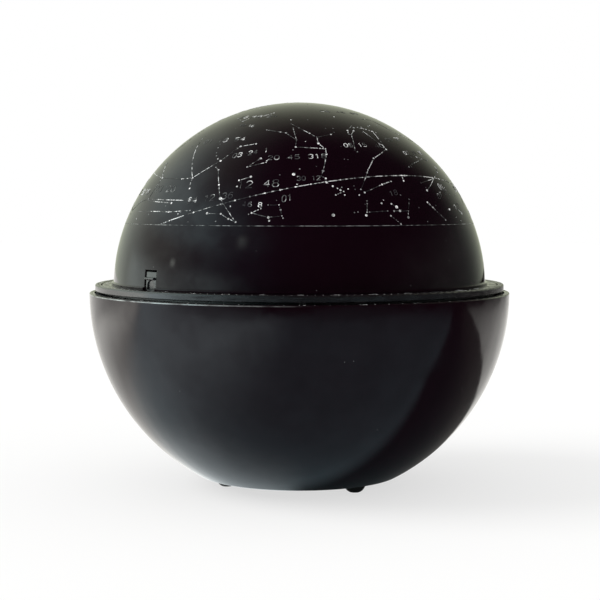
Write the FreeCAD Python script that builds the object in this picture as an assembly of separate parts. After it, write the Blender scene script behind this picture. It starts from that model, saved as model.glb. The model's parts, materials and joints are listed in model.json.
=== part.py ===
"""Home planetarium projector: a star dome turning on a bowl-shaped base.

Units are millimetres. +Z is up, and the origin is on the table, under the middle of the bowl.
A compass angle, "bearing", runs anticlockwise seen from above; bearing 0 is -Y, the front, and 90 is +X.

Inside the bowl a deck plate carries a gear motor. Its pinion drives a ring gear moulded in the
turntable, and the dome drops into the turntable. A small lamp stands on a post, level with the
dome's printed horizon line, and throws the stars of the dome on the ceiling.
"""
import FreeCAD, Part
import math
import os

V = FreeCAD.Vector
X_AXIS = V(1, 0, 0)
Y_AXIS = V(0, 1, 0)
Z_AXIS = V(0, 0, 1)
ORIGIN = V(0, 0, 0)

# ---------------------------------------------------------------- driving dimensions
# Bowl: half a ball with a flat underside
RIM_RADIUS = 110.0          # outside of the bowl at its rim, the widest thing on the object
RIM_Z = 102.0               # top of the rim above the table, and the middle of the ball
RIM_EDGE = 0.5              # rounding of the rim's outer edge
UNDERSIDE_EDGE = 4.0        # rounding between the ball and its flat underside
BOWL_WALL = 2.5
BOWL_INNER = RIM_RADIUS - BOWL_WALL
BASE_Z = RIM_Z - 96.9       # flat underside of the bowl; the feet take up the rest
FLOOR_Z = BASE_Z + 2.8      # top of the bowl's floor

# Turntable and its trim ring
SEAT_Z = RIM_Z + 4.2        # turntable face that the dome stands on
DATE_RING_RADII = (104.0, 107.0)
DATE_RING_TOP_Z = SEAT_Z + 0.2
TURN_GAP = 1.0              # air between the rim and whatever turns above it
TURNTABLE_BORE = 97.7       # takes the dome's spigot
TURNTABLE_BODY = 103.4
TURNTABLE_FLANGE = 104.9    # carries the trim ring
TURNTABLE_WELL = 101.4      # outer wall of the space under the dome's spigot
FLANGE_TOP_Z = SEAT_Z - 1.4
GUIDE_RADII = (98.9, 100.4)  # rib that runs round the deck's track
WEB_Z = (100.5, 102.5)

# Dome
DOME_RADIUS = 97.6
DOME_CENTRE_Z = RIM_Z + 1.2
DOME_WALL = 2.0
DOME_BEAD_RADIUS = 98.6     # bead that rests on the turntable
DOME_BEAD_HEIGHT = 1.4
SPIGOT_RADIUS = 97.4        # part of the dome that drops into the turntable
SPIGOT_DEPTH = 3.0

# The dome's locating notch and the catch that stands in it
CATCH_BEARING = -48.2
NOTCH_WIDTH = 9.4
NOTCH_TOP_Z = SEAT_Z + 9.9
CATCH_SIDES = (-3.6, 4.3)   # the finger's two edges across the notch, a wider gap at the left
CATCH_TOP_GAP = 0.9
CATCH_SKIN = DOME_RADIUS - 0.25
CATCH_THICKNESS = 1.6
LEDGE_SIDES = (-4.4, 3.4)
LEDGE_Z = (SEAT_Z + 5.1, SEAT_Z + 6.3)
LEDGE_REACH = 1.1           # how far the thumb ledge stands out of the finger

# Ring gear and pinion
MODULE = 2.0
RING_TEETH = 84
PINION_TEETH = 12
PRESSURE_ANGLE = math.radians(20)
BACKLASH = 0.14
GEAR_Z = (97.6, 101.9)      # bottom and top of the pinion's face
RING_PITCH_RADIUS = RING_TEETH * MODULE / 2
PINION_PITCH_RADIUS = PINION_TEETH * MODULE / 2
DRIVE_CENTRE = V(RING_PITCH_RADIUS - PINION_PITCH_RADIUS, 0, 0)
RING_TIP_RADIUS = RING_PITCH_RADIUS - 0.5 * MODULE      # stub teeth clear the pinion's roots
RING_ROOT_RADIUS = RING_PITCH_RADIUS + 1.25 * MODULE
RING_BODY_RADIUS = RING_ROOT_RADIUS + 2.6
SHAFT_RADIUS = 2.0
SHAFT_BOTTOM_Z = 86.0
PINION_HUB = (4.6, 0.6)     # radius, and height above the teeth

# Deck: the plate across the bowl
DECK_Z = (95.0, 97.0)
DECK_RADIUS = 106.6
DECK_RIM_Z = (DECK_Z[0] - 3.0, RIM_Z - 0.2)
DECK_RIM_WALL = 1.7
DECK_RIB_END = 52.0
TRACK_RADII = (96.0, 98.6)  # low wall that keeps the turntable centred
TRACK_TOP_Z = 100.0
WIRE_HOLE_RADIUS = 5.0
POST_CIRCLE = 76.0          # posts in the bowl that carry the deck
POST_RADIUS = 5.0
POST_BEARINGS = (45, 135, 225, 315)
FIN_LENGTH = 20.0           # webs between the posts and the bowl's wall

# Rollers under the turntable
ROLLER_BEARINGS = {"roller_front": 0.0, "roller_left": 240.0, "roller_right": 120.0}
ROLLER_CIRCLE = 93.0
ROLLER_RADIUS = 4.5
ROLLER_WIDTH = 4.0
ROLLER_Z = WEB_Z[0] - ROLLER_RADIUS - 0.04
AXLE_RADIUS = 0.8
AXLE_LENGTH = 9.4

# Gear motor
GEARBOX_Z = (80.5, DECK_Z[0])
GEARBOX_SIZE = (36.0, 24.0)
GEARBOX_MIDDLE = DRIVE_CENTRE.x - 6.0
GEARBOX_SEAM_Z = (87.4, 88.0)
MOTOR_RADIUS = 10.2
MOTOR_FLATS = 15.4          # distance between the can's two flat sides
MOTOR_AT = V(GEARBOX_MIDDLE - 4.0, 0, 0)
MOTOR_Z = (55.0, GEARBOX_Z[0])

# Cover over the gears, and the lamp on its post
COVER_Z = (103.0, 104.8)
COVER_RADIUS = 93.4
COVER_BOSS_CIRCLE = 56.0
COVER_BOSS_RADIUS = 4.0
LAMP_Z = RIM_Z + 36.0       # filament height, level with the printed horizon line
POST_BASE_Z = COVER_Z[1]
POST_FOOT_RADIUS = 16.0
POST_BORE = 4.0
SOCKET_Z = (LAMP_Z - 17.0, LAMP_Z - 6.5)
SOCKET_RADII = (4.9, 5.85)
GLASS_RADIUS = 5.4
GLASS_WALL = 0.5
CAP_RADIUS = 4.75           # E10 lamp cap

# Feet
FEET_BEARINGS = {"foot_right": 46.0, "foot_left": -74.0, "foot_back": 166.0}
FEET_CIRCLE = 39.6          # radius of the circle that the feet stand on
FOOT_RADIUS = 5.6
FOOT_STEM_RADIUS = 2.0

# Battery bay
BATTERY_BEARING = 106.0     # the cells lie along this bearing, clear of all three feet
CELL_RADIUS = 7.25          # size AA cell
CELL_LENGTH = 50.5
CELL_PITCH = 15.6
CELL_Z = FLOOR_Z + 0.4 + CELL_RADIUS
BAY_LENGTH = 58.0           # inside
BAY_WIDTH = 3 * CELL_PITCH + 0.4
BAY_TOP_Z = FLOOR_Z + 15.8
BAY_WALL = 1.8
BAY_FLANGE = 5.5
DOOR_MARGIN = 1.8           # how far the door laps the bay all round
DOOR_THICKNESS = 1.9
DOOR_GAP = 0.3
DOOR_HINGE_X = -(BAY_LENGTH / 2 + DOOR_MARGIN - DOOR_THICKNESS / 2)
DOOR_HINGE_Z = BASE_Z + DOOR_THICKNESS / 2
DOOR_PEG_RADIUS = 0.6
DOOR_PEG_REACH = 1.6        # how far a hinge peg enters the bowl's floor
CONTACT_THICKNESS = 0.5
SPRING_WIRE = 0.35          # half the wire's thickness
SPRING_TURNS = 2.4
SPRING_RADII = (4.6, 3.4)   # at the contact plate and at the cell

# Switch
SWITCH_BEARING = 180.0
SWITCH_Z = 80.0
SWITCH_PLATE = (27.0, 13.0, 1.6)     # length, width and thickness of the escutcheon
SWITCH_BODY = (16.0, 8.0, 7.0)
SWITCH_TRAVEL = 6.0
SLIDER = (4.4, 4.0)

# Screws, and where each kind goes
DECK_SCREW = dict(head_radius=3.0, head_height=1.9, shank_radius=1.5, length=12)
GEARBOX_SCREW = dict(head_radius=2.2, head_height=1.0, shank_radius=1.05, length=8)
BAY_SCREW = dict(head_radius=2.2, head_height=1.3, shank_radius=1.2, length=3.2)
COVER_SCREW = dict(head_radius=2.9, head_height=1.7, shank_radius=1.2, length=7)
LAMP_SCREW = dict(head_radius=2.2, head_height=1.4, shank_radius=1.2, length=4)
PLATE_SCREW = dict(head_radius=1.5, head_height=0.7, shank_radius=0.9, length=4)
GEARBOX_SCREWS = [(GEARBOX_MIDDLE + x, y) for x in (-14.5, 14.5) for y in (-8.5, 8.5)]
BAY_SCREWS = [(x, y) for x in (-BAY_LENGTH / 2 + 8.0, BAY_LENGTH / 2 - 8.0)
              for y in (-BAY_WIDTH / 2 - BAY_WALL - 2.8, BAY_WIDTH / 2 + BAY_WALL + 2.8)]
PLATE_SCREWS_X = (-10.9, 10.9)
LAMP_SCREW_CIRCLE = 13.2
LAMP_SCREW_BEARINGS = (60, 180, 300)


# ---------------------------------------------------------------- helpers
def polar(radius, bearing, z=0.0):
    """The point at that radius and bearing."""
    a = math.radians(bearing)
    return V(radius * math.sin(a), -radius * math.cos(a), z)


def facing(bearing, at=ORIGIN):
    """A placement at a point whose local +X looks outwards along the bearing."""
    return FreeCAD.Placement(at, FreeCAD.Rotation(Z_AXIS, bearing - 90.0))


def revolved(steps):
    """A solid of revolution about Z. Steps are (r, z) corners; ("arc", mid, end) runs a round stretch."""
    start = V(steps[0][0], 0, steps[0][1])
    here, edges = start, []
    for step in steps[1:]:
        if step[0] == "arc":
            middle, end = (V(p[0], 0, p[1]) for p in step[1:])
            edges.append(Part.Arc(here, middle, end).toShape())
        else:
            end = V(step[0], 0, step[1])
            edges.append(Part.makeLine(here, end))
        here = end
    if here.distanceToPoint(start) > 1e-6:
        edges.append(Part.makeLine(here, start))
    face = Part.Face(Part.Wire(edges))
    return face.revolve(ORIGIN, Z_AXIS, 360)


def rounded_corner(corner, size):
    """Steps for the quarter round at the top outer (r, z) corner of an outline that runs upwards."""
    r, z = corner
    bevel = size * (1 - math.sqrt(0.5))
    return [(r, z - size), ("arc", (r - bevel, z - bevel), (r - size, z))]


def on_sphere(radius, centre_z, z):
    """The (r, z) point of a sphere's outline at height z."""
    return math.sqrt(radius ** 2 - (z - centre_z) ** 2), z


def sphere_arc(radius, centre_z, start, end):
    """An arc step along a sphere's outline from one (r, z) point to another."""
    a = math.atan2(start[1] - centre_z, start[0])
    b = math.atan2(end[1] - centre_z, end[0])
    m = (a + b) / 2
    return "arc", (radius * math.cos(m), centre_z + radius * math.sin(m)), end


def cylinder(radius, bottom, top, at=ORIGIN):
    return Part.makeCylinder(radius, top - bottom, V(at.x, at.y, bottom))


def box(x, y, z):
    """A block from (low, high) pairs."""
    return Part.makeBox(x[1] - x[0], y[1] - y[0], z[1] - z[0], V(x[0], y[0], z[0]))


def both(half):
    """The (low, high) pair that reaches as far on either side of zero."""
    return -half, half


def rounded_plate(length, width, bottom, top, corner):
    """A flat plate centred on Z with rounded corners, its length along X."""
    plate = box(both(length / 2), both(width / 2), (bottom, top))
    upright = [e for e in plate.Edges if abs(e.Vertexes[0].Z - e.Vertexes[1].Z) > 1e-6]
    return plate.makeFillet(corner, upright)


def round_level_edges(shape, radius, z):
    """Fillets the edges that lie level at height z."""
    level = [e for e in shape.Edges if abs(e.BoundBox.ZMin - z) < 1e-4 and abs(e.BoundBox.ZMax - z) < 1e-4]
    return shape.makeFillet(radius, level)


def moved(shape, placement):
    shape = shape.copy()
    shape.Placement = placement.multiply(shape.Placement)
    return shape


def drill(shape, radius, depth, places):
    """Bores upright holes between the two depths at the given points."""
    for at in places:
        shape = shape.cut(cylinder(radius, depth[0], depth[1], at))
    return shape


def on_circle(radius, bearings, z=0.0):
    return [polar(radius, bearing, z) for bearing in bearings]


def screw(head_radius, head_height, shank_radius, length):
    """A pan-head screw pointing down, its head's top at the origin, with a cross recess."""
    under = -head_height
    body = revolved([
        (0, under - length), (shank_radius * 0.6, under - length), (shank_radius, under - length + shank_radius),
        (shank_radius, under), (head_radius, under), (head_radius, -head_height * 0.45),
        ("arc", (head_radius * 0.82, -head_height * 0.14), (head_radius * 0.45, 0)), (0, 0),
    ])
    slot = box(both(head_radius * 0.6), both(head_radius * 0.14), (-head_height * 0.6, 1))
    return body.cut(slot).cut(moved(slot, FreeCAD.Placement(ORIGIN, FreeCAD.Rotation(Z_AXIS, 90))))


def placed_screws(kind, places):
    """Copies of one screw, heads up, with the tops of their heads at the given points."""
    return [moved(screw(**kind), FreeCAD.Placement(at, FreeCAD.Rotation())) for at in places]


def save(name, *solids):
    """Writes one node. Several solids in it are separate pieces of the same kind."""
    whole = [s for shape in solids for s in shape.Solids]
    shape = whole[0] if len(whole) == 1 else Part.makeCompound(whole)
    if not shape.isValid():
        raise RuntimeError(name + " is not a valid shape")
    shape.exportStep(os.path.join("parts", name + ".step"))


# ---------------------------------------------------------------- gear teeth
def gear_outline(teeth, tip_radius, root_radius, thinning, flank_points):
    """Closed outline of an involute gear about Z, with a tooth centred on +X.

    thinning is what each flank gives up for backlash; a negative value widens the tooth, which is
    how the space cut in a ring gear is made.
    """
    pitch = teeth * MODULE / 2
    base = pitch * math.cos(PRESSURE_ANGLE)
    half_tooth = math.pi / (2 * teeth) - thinning / pitch
    roll_at_pitch = math.tan(PRESSURE_ANGLE) - PRESSURE_ANGLE

    def flank(radius):
        """Half the tooth's angle at that radius."""
        angle = math.acos(min(1.0, base / radius))
        return half_tooth + roll_at_pitch - (math.tan(angle) - angle)

    start = max(base, root_radius)
    radii = [start + (tip_radius - start) * k / flank_points for k in range(flank_points + 1)]
    side = [(r, flank(r)) for r in radii]
    if root_radius < base:
        side.insert(0, (root_radius, flank(base)))
    points = []
    for tooth in range(teeth):
        middle = 2 * math.pi * tooth / teeth
        points += [(r, middle - a) for r, a in side]
        points += [(r, middle + a) for r, a in reversed(side)]
    corners = [V(r * math.cos(a), r * math.sin(a), 0) for r, a in points]
    return Part.makePolygon(corners + corners[:1])


def extruded(wire, bottom, top):
    face = Part.Face(wire)
    face.translate(V(0, 0, bottom))
    return face.extrude(V(0, 0, top - bottom))


# ---------------------------------------------------------------- bowl and feet
def bowl_shell():
    """Half a ball with a flat underside, a level floor inside it and a rounded rim."""
    rim = rounded_corner((RIM_RADIUS, RIM_Z), RIM_EDGE)
    outside = on_sphere(RIM_RADIUS, RIM_Z, BASE_Z)
    inside = on_sphere(BOWL_INNER, RIM_Z, FLOOR_Z)
    rim_inside = (BOWL_INNER, RIM_Z)
    shell = revolved([
        (0, BASE_Z), outside, sphere_arc(RIM_RADIUS, RIM_Z, outside, rim[0]), rim[1],
        rim_inside, sphere_arc(BOWL_INNER, RIM_Z, rim_inside, inside), (0, FLOOR_Z),
    ])
    return round_level_edges(shell, UNDERSIDE_EDGE, BASE_Z)


def battery_opening():
    """What the battery bay takes out of the floor: hatch, rebate for the door, hinge sockets, screw holes."""
    rebate_top = BASE_Z + DOOR_THICKNESS + 0.1
    lap = DOOR_MARGIN + DOOR_GAP
    half_length, half_width = BAY_LENGTH / 2 + lap, BAY_WIDTH / 2 + lap
    hatch = rounded_plate(BAY_LENGTH, BAY_WIDTH, 0, FLOOR_Z + 1, 1.5)
    rebate = rounded_plate(2 * half_length, 2 * half_width, 0, rebate_top, 3.0)
    square_end = box((-half_length, -half_length + 6), both(half_width), (0, rebate_top))
    reach = half_width + DOOR_PEG_REACH
    sockets = Part.makeCylinder(
        DOOR_PEG_RADIUS + 0.06, 2 * reach, V(DOOR_HINGE_X, -reach, DOOR_HINGE_Z), Y_AXIS)
    opening = hatch.fuse([rebate, square_end, sockets])
    for x, y in BAY_SCREWS:
        opening = opening.fuse(cylinder(BAY_SCREW["shank_radius"], BASE_Z + 1.0, FLOOR_Z + 1, V(x, y, 0)))
    return moved(opening, facing(BATTERY_BEARING))


def bowl():
    """The ball-shaped base with posts for the deck, battery hatch and switch recess."""
    shell = bowl_shell()
    cavity = Part.makeSphere(BOWL_INNER + BOWL_WALL / 2, V(0, 0, RIM_Z))
    for bearing in POST_BEARINGS:
        post = cylinder(POST_RADIUS, FLOOR_Z, DECK_Z[0], polar(POST_CIRCLE, bearing))
        fin = box((POST_CIRCLE, POST_CIRCLE + FIN_LENGTH), both(1.0), (FLOOR_Z, DECK_Z[0] - 8))
        shell = shell.fuse(post.fuse(moved(fin, facing(bearing))).common(cavity))
    pilot_depth = (DECK_Z[0] - DECK_SCREW["length"] - 2, DECK_Z[0] + 1)
    shell = drill(shell, DECK_SCREW["shank_radius"], pilot_depth, on_circle(POST_CIRCLE, POST_BEARINGS))
    shell = drill(shell, FOOT_STEM_RADIUS, (0, FLOOR_Z + 1), on_circle(FEET_CIRCLE, FEET_BEARINGS.values()))
    shell = shell.cut(battery_opening())

    length, width, thickness = SWITCH_PLATE
    pad = rounded_plate(length + 5, width + 5, -thickness - 2.2, 0, 3.0)
    recess = rounded_plate(length + 0.6, width + 0.6, -thickness, 20, 2.0)
    well = rounded_plate(SWITCH_BODY[0] + 1.0, SWITCH_BODY[1] + 1.0, -20, 20, 0.8)
    shell = shell.fuse(moved(pad, switch_place()).common(cavity))
    shell = shell.cut(moved(recess.fuse(well), switch_place()))
    for x in PLATE_SCREWS_X:
        pilot = cylinder(PLATE_SCREW["shank_radius"], -PLATE_SCREW["length"] - 1.0, 0, V(x, 0, 0))
        shell = shell.cut(moved(pilot, switch_place()))
    return shell.removeSplitter()


def foot(bearing):
    """A rubber button: rounded pad, stem through the base, and a barb that holds it."""
    flat = 2.6
    pad = revolved([
        (0, 0), (flat, 0), ("arc", (FOOT_RADIUS * 0.86, BASE_Z * 0.36), (FOOT_RADIUS, BASE_Z)),
        (FOOT_STEM_RADIUS, BASE_Z), (FOOT_STEM_RADIUS, FLOOR_Z), (FOOT_STEM_RADIUS + 0.8, FLOOR_Z),
        (FOOT_STEM_RADIUS - 0.6, FLOOR_Z + 2.6), (0, FLOOR_Z + 2.6),
    ])
    return moved(pad, FreeCAD.Placement(polar(FEET_CIRCLE, bearing), FreeCAD.Rotation()))


# ---------------------------------------------------------------- battery compartment
def battery_box():
    """A tray over the hatch, open downwards, with a rib between cells and a flange screwed to the floor."""
    length, width = BAY_LENGTH + 2 * BAY_WALL, BAY_WIDTH + 2 * BAY_WALL
    outer = rounded_plate(length, width, FLOOR_Z, BAY_TOP_Z + BAY_WALL, 2.0)
    flange = rounded_plate(BAY_LENGTH - 4, width + 2 * BAY_FLANGE, FLOOR_Z, FLOOR_Z + 1.8, 3.0)
    tray = outer.fuse(flange).cut(rounded_plate(BAY_LENGTH, BAY_WIDTH, FLOOR_Z - 1, BAY_TOP_Z, 1.2))
    for rib_y in both(CELL_PITCH / 2):
        rib = box(both(CELL_LENGTH / 2 - 4), (rib_y - 0.3, rib_y + 0.3), (BAY_TOP_Z - 4, BAY_TOP_Z + 0.5))
        tray = tray.fuse(rib)
    tray = drill(tray, BAY_SCREW["shank_radius"] + 0.1, (0, FLOOR_Z + 5), [V(x, y, 0) for x, y in BAY_SCREWS])
    wire_hole = cylinder(1.6, BAY_TOP_Z - 1, BAY_TOP_Z + 5, V(BAY_LENGTH / 2 - 6, 0, 0))
    return moved(tray.cut(wire_hole).removeSplitter(), facing(BATTERY_BEARING))


def in_bay(shape, index, x):
    """Puts a shape made along +Z into the bay, x from its middle; neighbouring cells point opposite ways."""
    way = 1 if index % 2 else -1
    lie = FreeCAD.Rotation(Y_AXIS, 90 * way)
    at = V(-way * x, (index - 1) * CELL_PITCH, CELL_Z)
    return moved(moved(shape, FreeCAD.Placement(at, lie)), facing(BATTERY_BEARING))


def cell(index):
    """One AA cell: a can with a shallow foot and a raised positive cap."""
    shoulder = CELL_LENGTH - 1.4
    cap = 2.75
    body = revolved([
        (0, 0), (4.5, 0), (4.5, 0.4), (CELL_RADIUS - 0.7, 0.4), (CELL_RADIUS, 1.1),
        (CELL_RADIUS, shoulder - 0.8), (CELL_RADIUS - 0.8, shoulder), (cap, shoulder),
        (cap, CELL_LENGTH), (0, CELL_LENGTH),
    ])
    return in_bay(body, index, CELL_LENGTH / 2)


def conical_coil(rise):
    """Eight-sided wire wound up a cone about Z."""
    steps = round(12 * SPRING_TURNS)
    points = []
    for step in range(steps + 1):
        share = step / steps
        turn = 2 * math.pi * SPRING_TURNS * share
        radius = SPRING_RADII[0] + (SPRING_RADII[1] - SPRING_RADII[0]) * share
        points.append(V(radius * math.cos(turn), radius * math.sin(turn), rise * share))
    curve = Part.BSplineCurve()
    curve.interpolate(points)
    path = curve.toShape()
    start = path.valueAt(path.FirstParameter)
    along = path.tangentAt(path.FirstParameter)
    across = along.cross(Z_AXIS).normalize()
    upright = along.cross(across)
    corners = []
    for side in range(8):
        a = math.pi * side / 4
        corners.append(start + (across * math.cos(a) + upright * math.sin(a)) * SPRING_WIRE)
    sweep = Part.BRepOffsetAPI.MakePipeShell(Part.Wire([path]))
    sweep.setFrenetMode(True)
    sweep.add(Part.makePolygon(corners + corners[:1]))
    sweep.build()
    sweep.makeSolid()
    return sweep.shape()


def contact_spring(index):
    """Conical coil spring between a contact plate and the negative end of a cell."""
    gap = (BAY_LENGTH - CELL_LENGTH) / 2 - CONTACT_THICKNESS
    coil = conical_coil(gap - 2 * SPRING_WIRE)
    return in_bay(coil, index, BAY_LENGTH / 2 - CONTACT_THICKNESS - SPRING_WIRE)


def contact_plates():
    """Thin tinned strips on the bay's two end walls, three on each."""
    strips = []
    for end in (-1, 1):
        x = sorted((end * (BAY_LENGTH / 2 - CONTACT_THICKNESS), end * BAY_LENGTH / 2))
        for index in range(3):
            y = (index - 1) * CELL_PITCH
            strip = box(x, (y - 5.5, y + 5.5), (FLOOR_Z + 2.5, BAY_TOP_Z - 2.5))
            strips.append(moved(strip, facing(BATTERY_BEARING)))
    return strips


def battery_door():
    """Flush hatch cover: a rounded hinge edge with two pegs, a stiffening rim, a finger scoop and grip ribs."""
    top = BASE_Z + DOOR_THICKNESS
    half_width = BAY_WIDTH / 2 + DOOR_MARGIN
    plate = rounded_plate(BAY_LENGTH + 2 * DOOR_MARGIN, 2 * half_width, BASE_Z, top, 2.7)
    hinge_strip = (DOOR_HINGE_X, DOOR_HINGE_X + 4)
    plate = plate.cut(box((-BAY_LENGTH, hinge_strip[1]), both(BAY_WIDTH), (0, FLOOR_Z)))
    plate = plate.fuse(box(hinge_strip, both(half_width), (BASE_Z, top)))
    knuckle = Part.makeCylinder(
        DOOR_THICKNESS / 2, 2 * half_width, V(DOOR_HINGE_X, -half_width, DOOR_HINGE_Z), Y_AXIS)
    reach = half_width + DOOR_GAP + DOOR_PEG_REACH - 0.2
    pegs = Part.makeCylinder(DOOR_PEG_RADIUS, 2 * reach, V(DOOR_HINGE_X, -reach, DOOR_HINGE_Z), Y_AXIS)
    rim = rounded_plate(BAY_LENGTH - 0.8, BAY_WIDTH - 0.8, top, top + 1.1, 1.2)
    rim = rim.cut(rounded_plate(BAY_LENGTH - 4, BAY_WIDTH - 4, top - 1, top + 2, 1.0))
    door = plate.fuse([knuckle, pegs, rim])
    door = door.cut(Part.makeSphere(9.0, V(BAY_LENGTH / 2 - 5, 0, BASE_Z - 8.0)))
    for groove in range(5):
        x = BAY_LENGTH / 2 - 13 - 1.8 * groove
        door = door.cut(box((x - 0.8, x), both(9), (BASE_Z - 1, BASE_Z + 0.4)))
    return moved(door.removeSplitter(), facing(BATTERY_BEARING))


# ---------------------------------------------------------------- switch
def switch_place():
    """Local +Z is the bowl's outward normal at the switch, and local +X runs level round the bowl."""
    sink = math.asin((SWITCH_Z - RIM_Z) / RIM_RADIUS)
    at = polar(RIM_RADIUS * math.cos(sink), SWITCH_BEARING, SWITCH_Z)
    tilt = FreeCAD.Rotation(X_AXIS, 90 - math.degrees(sink))
    return FreeCAD.Placement(at, FreeCAD.Rotation(Z_AXIS, SWITCH_BEARING).multiply(tilt))


def switch_plate():
    """Escutcheon with a slot for the slider, two sunk screws and a row of position pips."""
    length, width, thickness = SWITCH_PLATE
    plate = round_level_edges(rounded_plate(length, width, -thickness, 0, 1.8), 0.4, 0)
    plate = plate.cut(rounded_plate(SLIDER[0] + SWITCH_TRAVEL + 1.0, SLIDER[1] + 0.6, -thickness - 1, 1, 0.6))
    pips = [V(step * SWITCH_TRAVEL / 2, 4.6, 0) for step in (-1, 0, 1)]
    plate = drill(plate, 0.45, (-0.35, 1), pips)
    screw_places = [V(x, 0, 0) for x in PLATE_SCREWS_X]
    plate = drill(plate, PLATE_SCREW["shank_radius"], (-thickness - 1, 1), screw_places)
    plate = drill(plate, PLATE_SCREW["head_radius"] + 0.15, (-0.8, 1), screw_places)
    return moved(plate, switch_place())


def switch_screws():
    """Two small screws, sunk in the escutcheon, that hold it to the bowl."""
    screws = placed_screws(PLATE_SCREW, [V(x, 0, -0.1) for x in PLATE_SCREWS_X])
    return [moved(s, switch_place()) for s in screws]


def switch_body():
    """Slide switch behind the plate, with three solder tags."""
    length, width, depth = SWITCH_BODY
    top = -SWITCH_PLATE[2]
    low = top - depth
    body = rounded_plate(length, width, low, top, 0.5)
    body = body.cut(box(both(length / 2 - 1), both(2.6), (top - 2.2, top + 1)))
    for x in (-4, 0, 4):
        body = body.fuse(box((x - 0.8, x + 0.8), both(0.25), (low - 3.5, low)))
    return moved(body.removeSplitter(), switch_place())


def switch_slider():
    """Ribbed thumb piece, parked at one end of its slot."""
    length, width = SLIDER
    low = -SWITCH_PLATE[2]
    stem = rounded_plate(length, width, low - 0.4, 1.9, 0.5)
    shoe = rounded_plate(length + 2.4, 4.6, low - 1.9, low - 0.3, 0.4)
    piece = stem.fuse(shoe)
    for x in (-1.3, 0, 1.3):
        piece = piece.cut(box((x - 0.3, x + 0.3), both(4), (1.4, 3)))
    piece.translate(V(-SWITCH_TRAVEL / 2, 0, 0))
    return moved(piece.removeSplitter(), switch_place())


# ---------------------------------------------------------------- deck and drive
def deck():
    """Round plate across the bowl: a rim that shields the gears, the turntable's track, bosses and ribs."""
    low, high = DECK_Z
    skirt = DECK_RADIUS - DECK_RIM_WALL
    plate = revolved([
        (WIRE_HOLE_RADIUS, low), (skirt, low), (skirt, DECK_RIM_Z[0]), (DECK_RADIUS, DECK_RIM_Z[0]),
        (DECK_RADIUS, DECK_RIM_Z[1]), (skirt, DECK_RIM_Z[1]), (skirt, high), (TRACK_RADII[1], high),
        (TRACK_RADII[1], TRACK_TOP_Z), (TRACK_RADII[0], TRACK_TOP_Z), (TRACK_RADII[0], high),
        (WIRE_HOLE_RADIUS, high),
    ])
    for at in on_circle(COVER_BOSS_CIRCLE, POST_BEARINGS):
        plate = plate.fuse(cylinder(COVER_BOSS_RADIUS, high, COVER_Z[0], at))
    for bearing in range(0, 360, 45):
        rib = box((WIRE_HOLE_RADIUS + 4, DECK_RIB_END), both(0.8), (low - 3, low))
        plate = plate.fuse(moved(rib, facing(bearing + 22.5)))
    through = (low - 1, high + 1)
    plate = drill(plate, 1.2, (low - 1, COVER_Z[0] + 1), on_circle(COVER_BOSS_CIRCLE, POST_BEARINGS))
    plate = drill(plate, 1.7, through, on_circle(POST_CIRCLE, POST_BEARINGS))
    motor_places = [V(x, y, 0) for x, y in GEARBOX_SCREWS]
    plate = drill(plate, GEARBOX_SCREW["shank_radius"] + 0.2, through, motor_places)
    plate = drill(plate, GEARBOX_SCREW["head_radius"] + 0.2, (high - 1.1, high + 1), motor_places)
    plate = drill(plate, SHAFT_RADIUS + 0.7, through, [DRIVE_CENTRE])
    for bearing in ROLLER_BEARINGS.values():
        cradle = box((ROLLER_CIRCLE - 5, TRACK_RADII[1]), both(ROLLER_RADIUS + 2.5), (low - 2, high))
        plate = plate.fuse(moved(cradle, facing(bearing)))
        half_slot = ROLLER_WIDTH / 2 + 0.4
        slot = box((ROLLER_CIRCLE - half_slot, ROLLER_CIRCLE + half_slot), both(ROLLER_RADIUS + 0.6),
                   (low - 3, high + 1))
        bore = Part.makeCylinder(AXLE_RADIUS, 20, V(ROLLER_CIRCLE - AXLE_LENGTH / 2, 0, ROLLER_Z), X_AXIS)
        plate = plate.cut(moved(slot.fuse(bore), facing(bearing)))
    return plate.removeSplitter()


def roller(bearing):
    """Moulded wheel with rounded edges and dished sides, its axle pointing outwards."""
    half = ROLLER_WIDTH / 2
    bore = AXLE_RADIUS + 0.05
    wheel = revolved([
        (bore, -half), (bore + 1.0, -half), (bore + 1.2, -half + 0.5), (ROLLER_RADIUS - 1.2, -half + 0.5),
        (ROLLER_RADIUS - 1.0, -half), (ROLLER_RADIUS - 0.4, -half), (ROLLER_RADIUS, -half + 0.4),
        (ROLLER_RADIUS, half - 0.4), (ROLLER_RADIUS - 0.4, half), (ROLLER_RADIUS - 1.0, half),
        (ROLLER_RADIUS - 1.2, half - 0.5), (bore + 1.2, half - 0.5), (bore + 1.0, half), (bore, half),
    ])
    stood = moved(wheel, FreeCAD.Placement(V(ROLLER_CIRCLE, 0, ROLLER_Z), FreeCAD.Rotation(Y_AXIS, 90)))
    return moved(stood, facing(bearing))


def roller_axle(bearing):
    """Steel pin pressed into the deck on both sides of the roller."""
    start = V(ROLLER_CIRCLE - AXLE_LENGTH / 2, 0, ROLLER_Z)
    return moved(Part.makeCylinder(AXLE_RADIUS, AXLE_LENGTH, start, X_AXIS), facing(bearing))


def gearbox_case():
    """Closed reduction gearbox hung under the deck, with a seam between its two halves."""
    low, high = GEARBOX_Z
    length, width = GEARBOX_SIZE
    seam_low, seam_high = GEARBOX_SEAM_Z
    case = round_level_edges(rounded_plate(length, width, low, high, 3.0), 1.0, low)
    seam = rounded_plate(length + 1, width + 1, seam_low, seam_high, 3.0)
    seam = seam.cut(rounded_plate(length - 1, width - 1, seam_low - 1, seam_high + 1, 2.5))
    case = case.cut(seam)
    case.translate(V(GEARBOX_MIDDLE, 0, 0))
    screw_places = [V(x, y, 0) for x, y in GEARBOX_SCREWS]
    case = drill(case, GEARBOX_SCREW["shank_radius"], (high - 8, high + 1), screw_places)
    return drill(case, SHAFT_RADIUS + 0.05, (SHAFT_BOTTOM_Z - 0.3, high + 1), [DRIVE_CENTRE])


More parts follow.
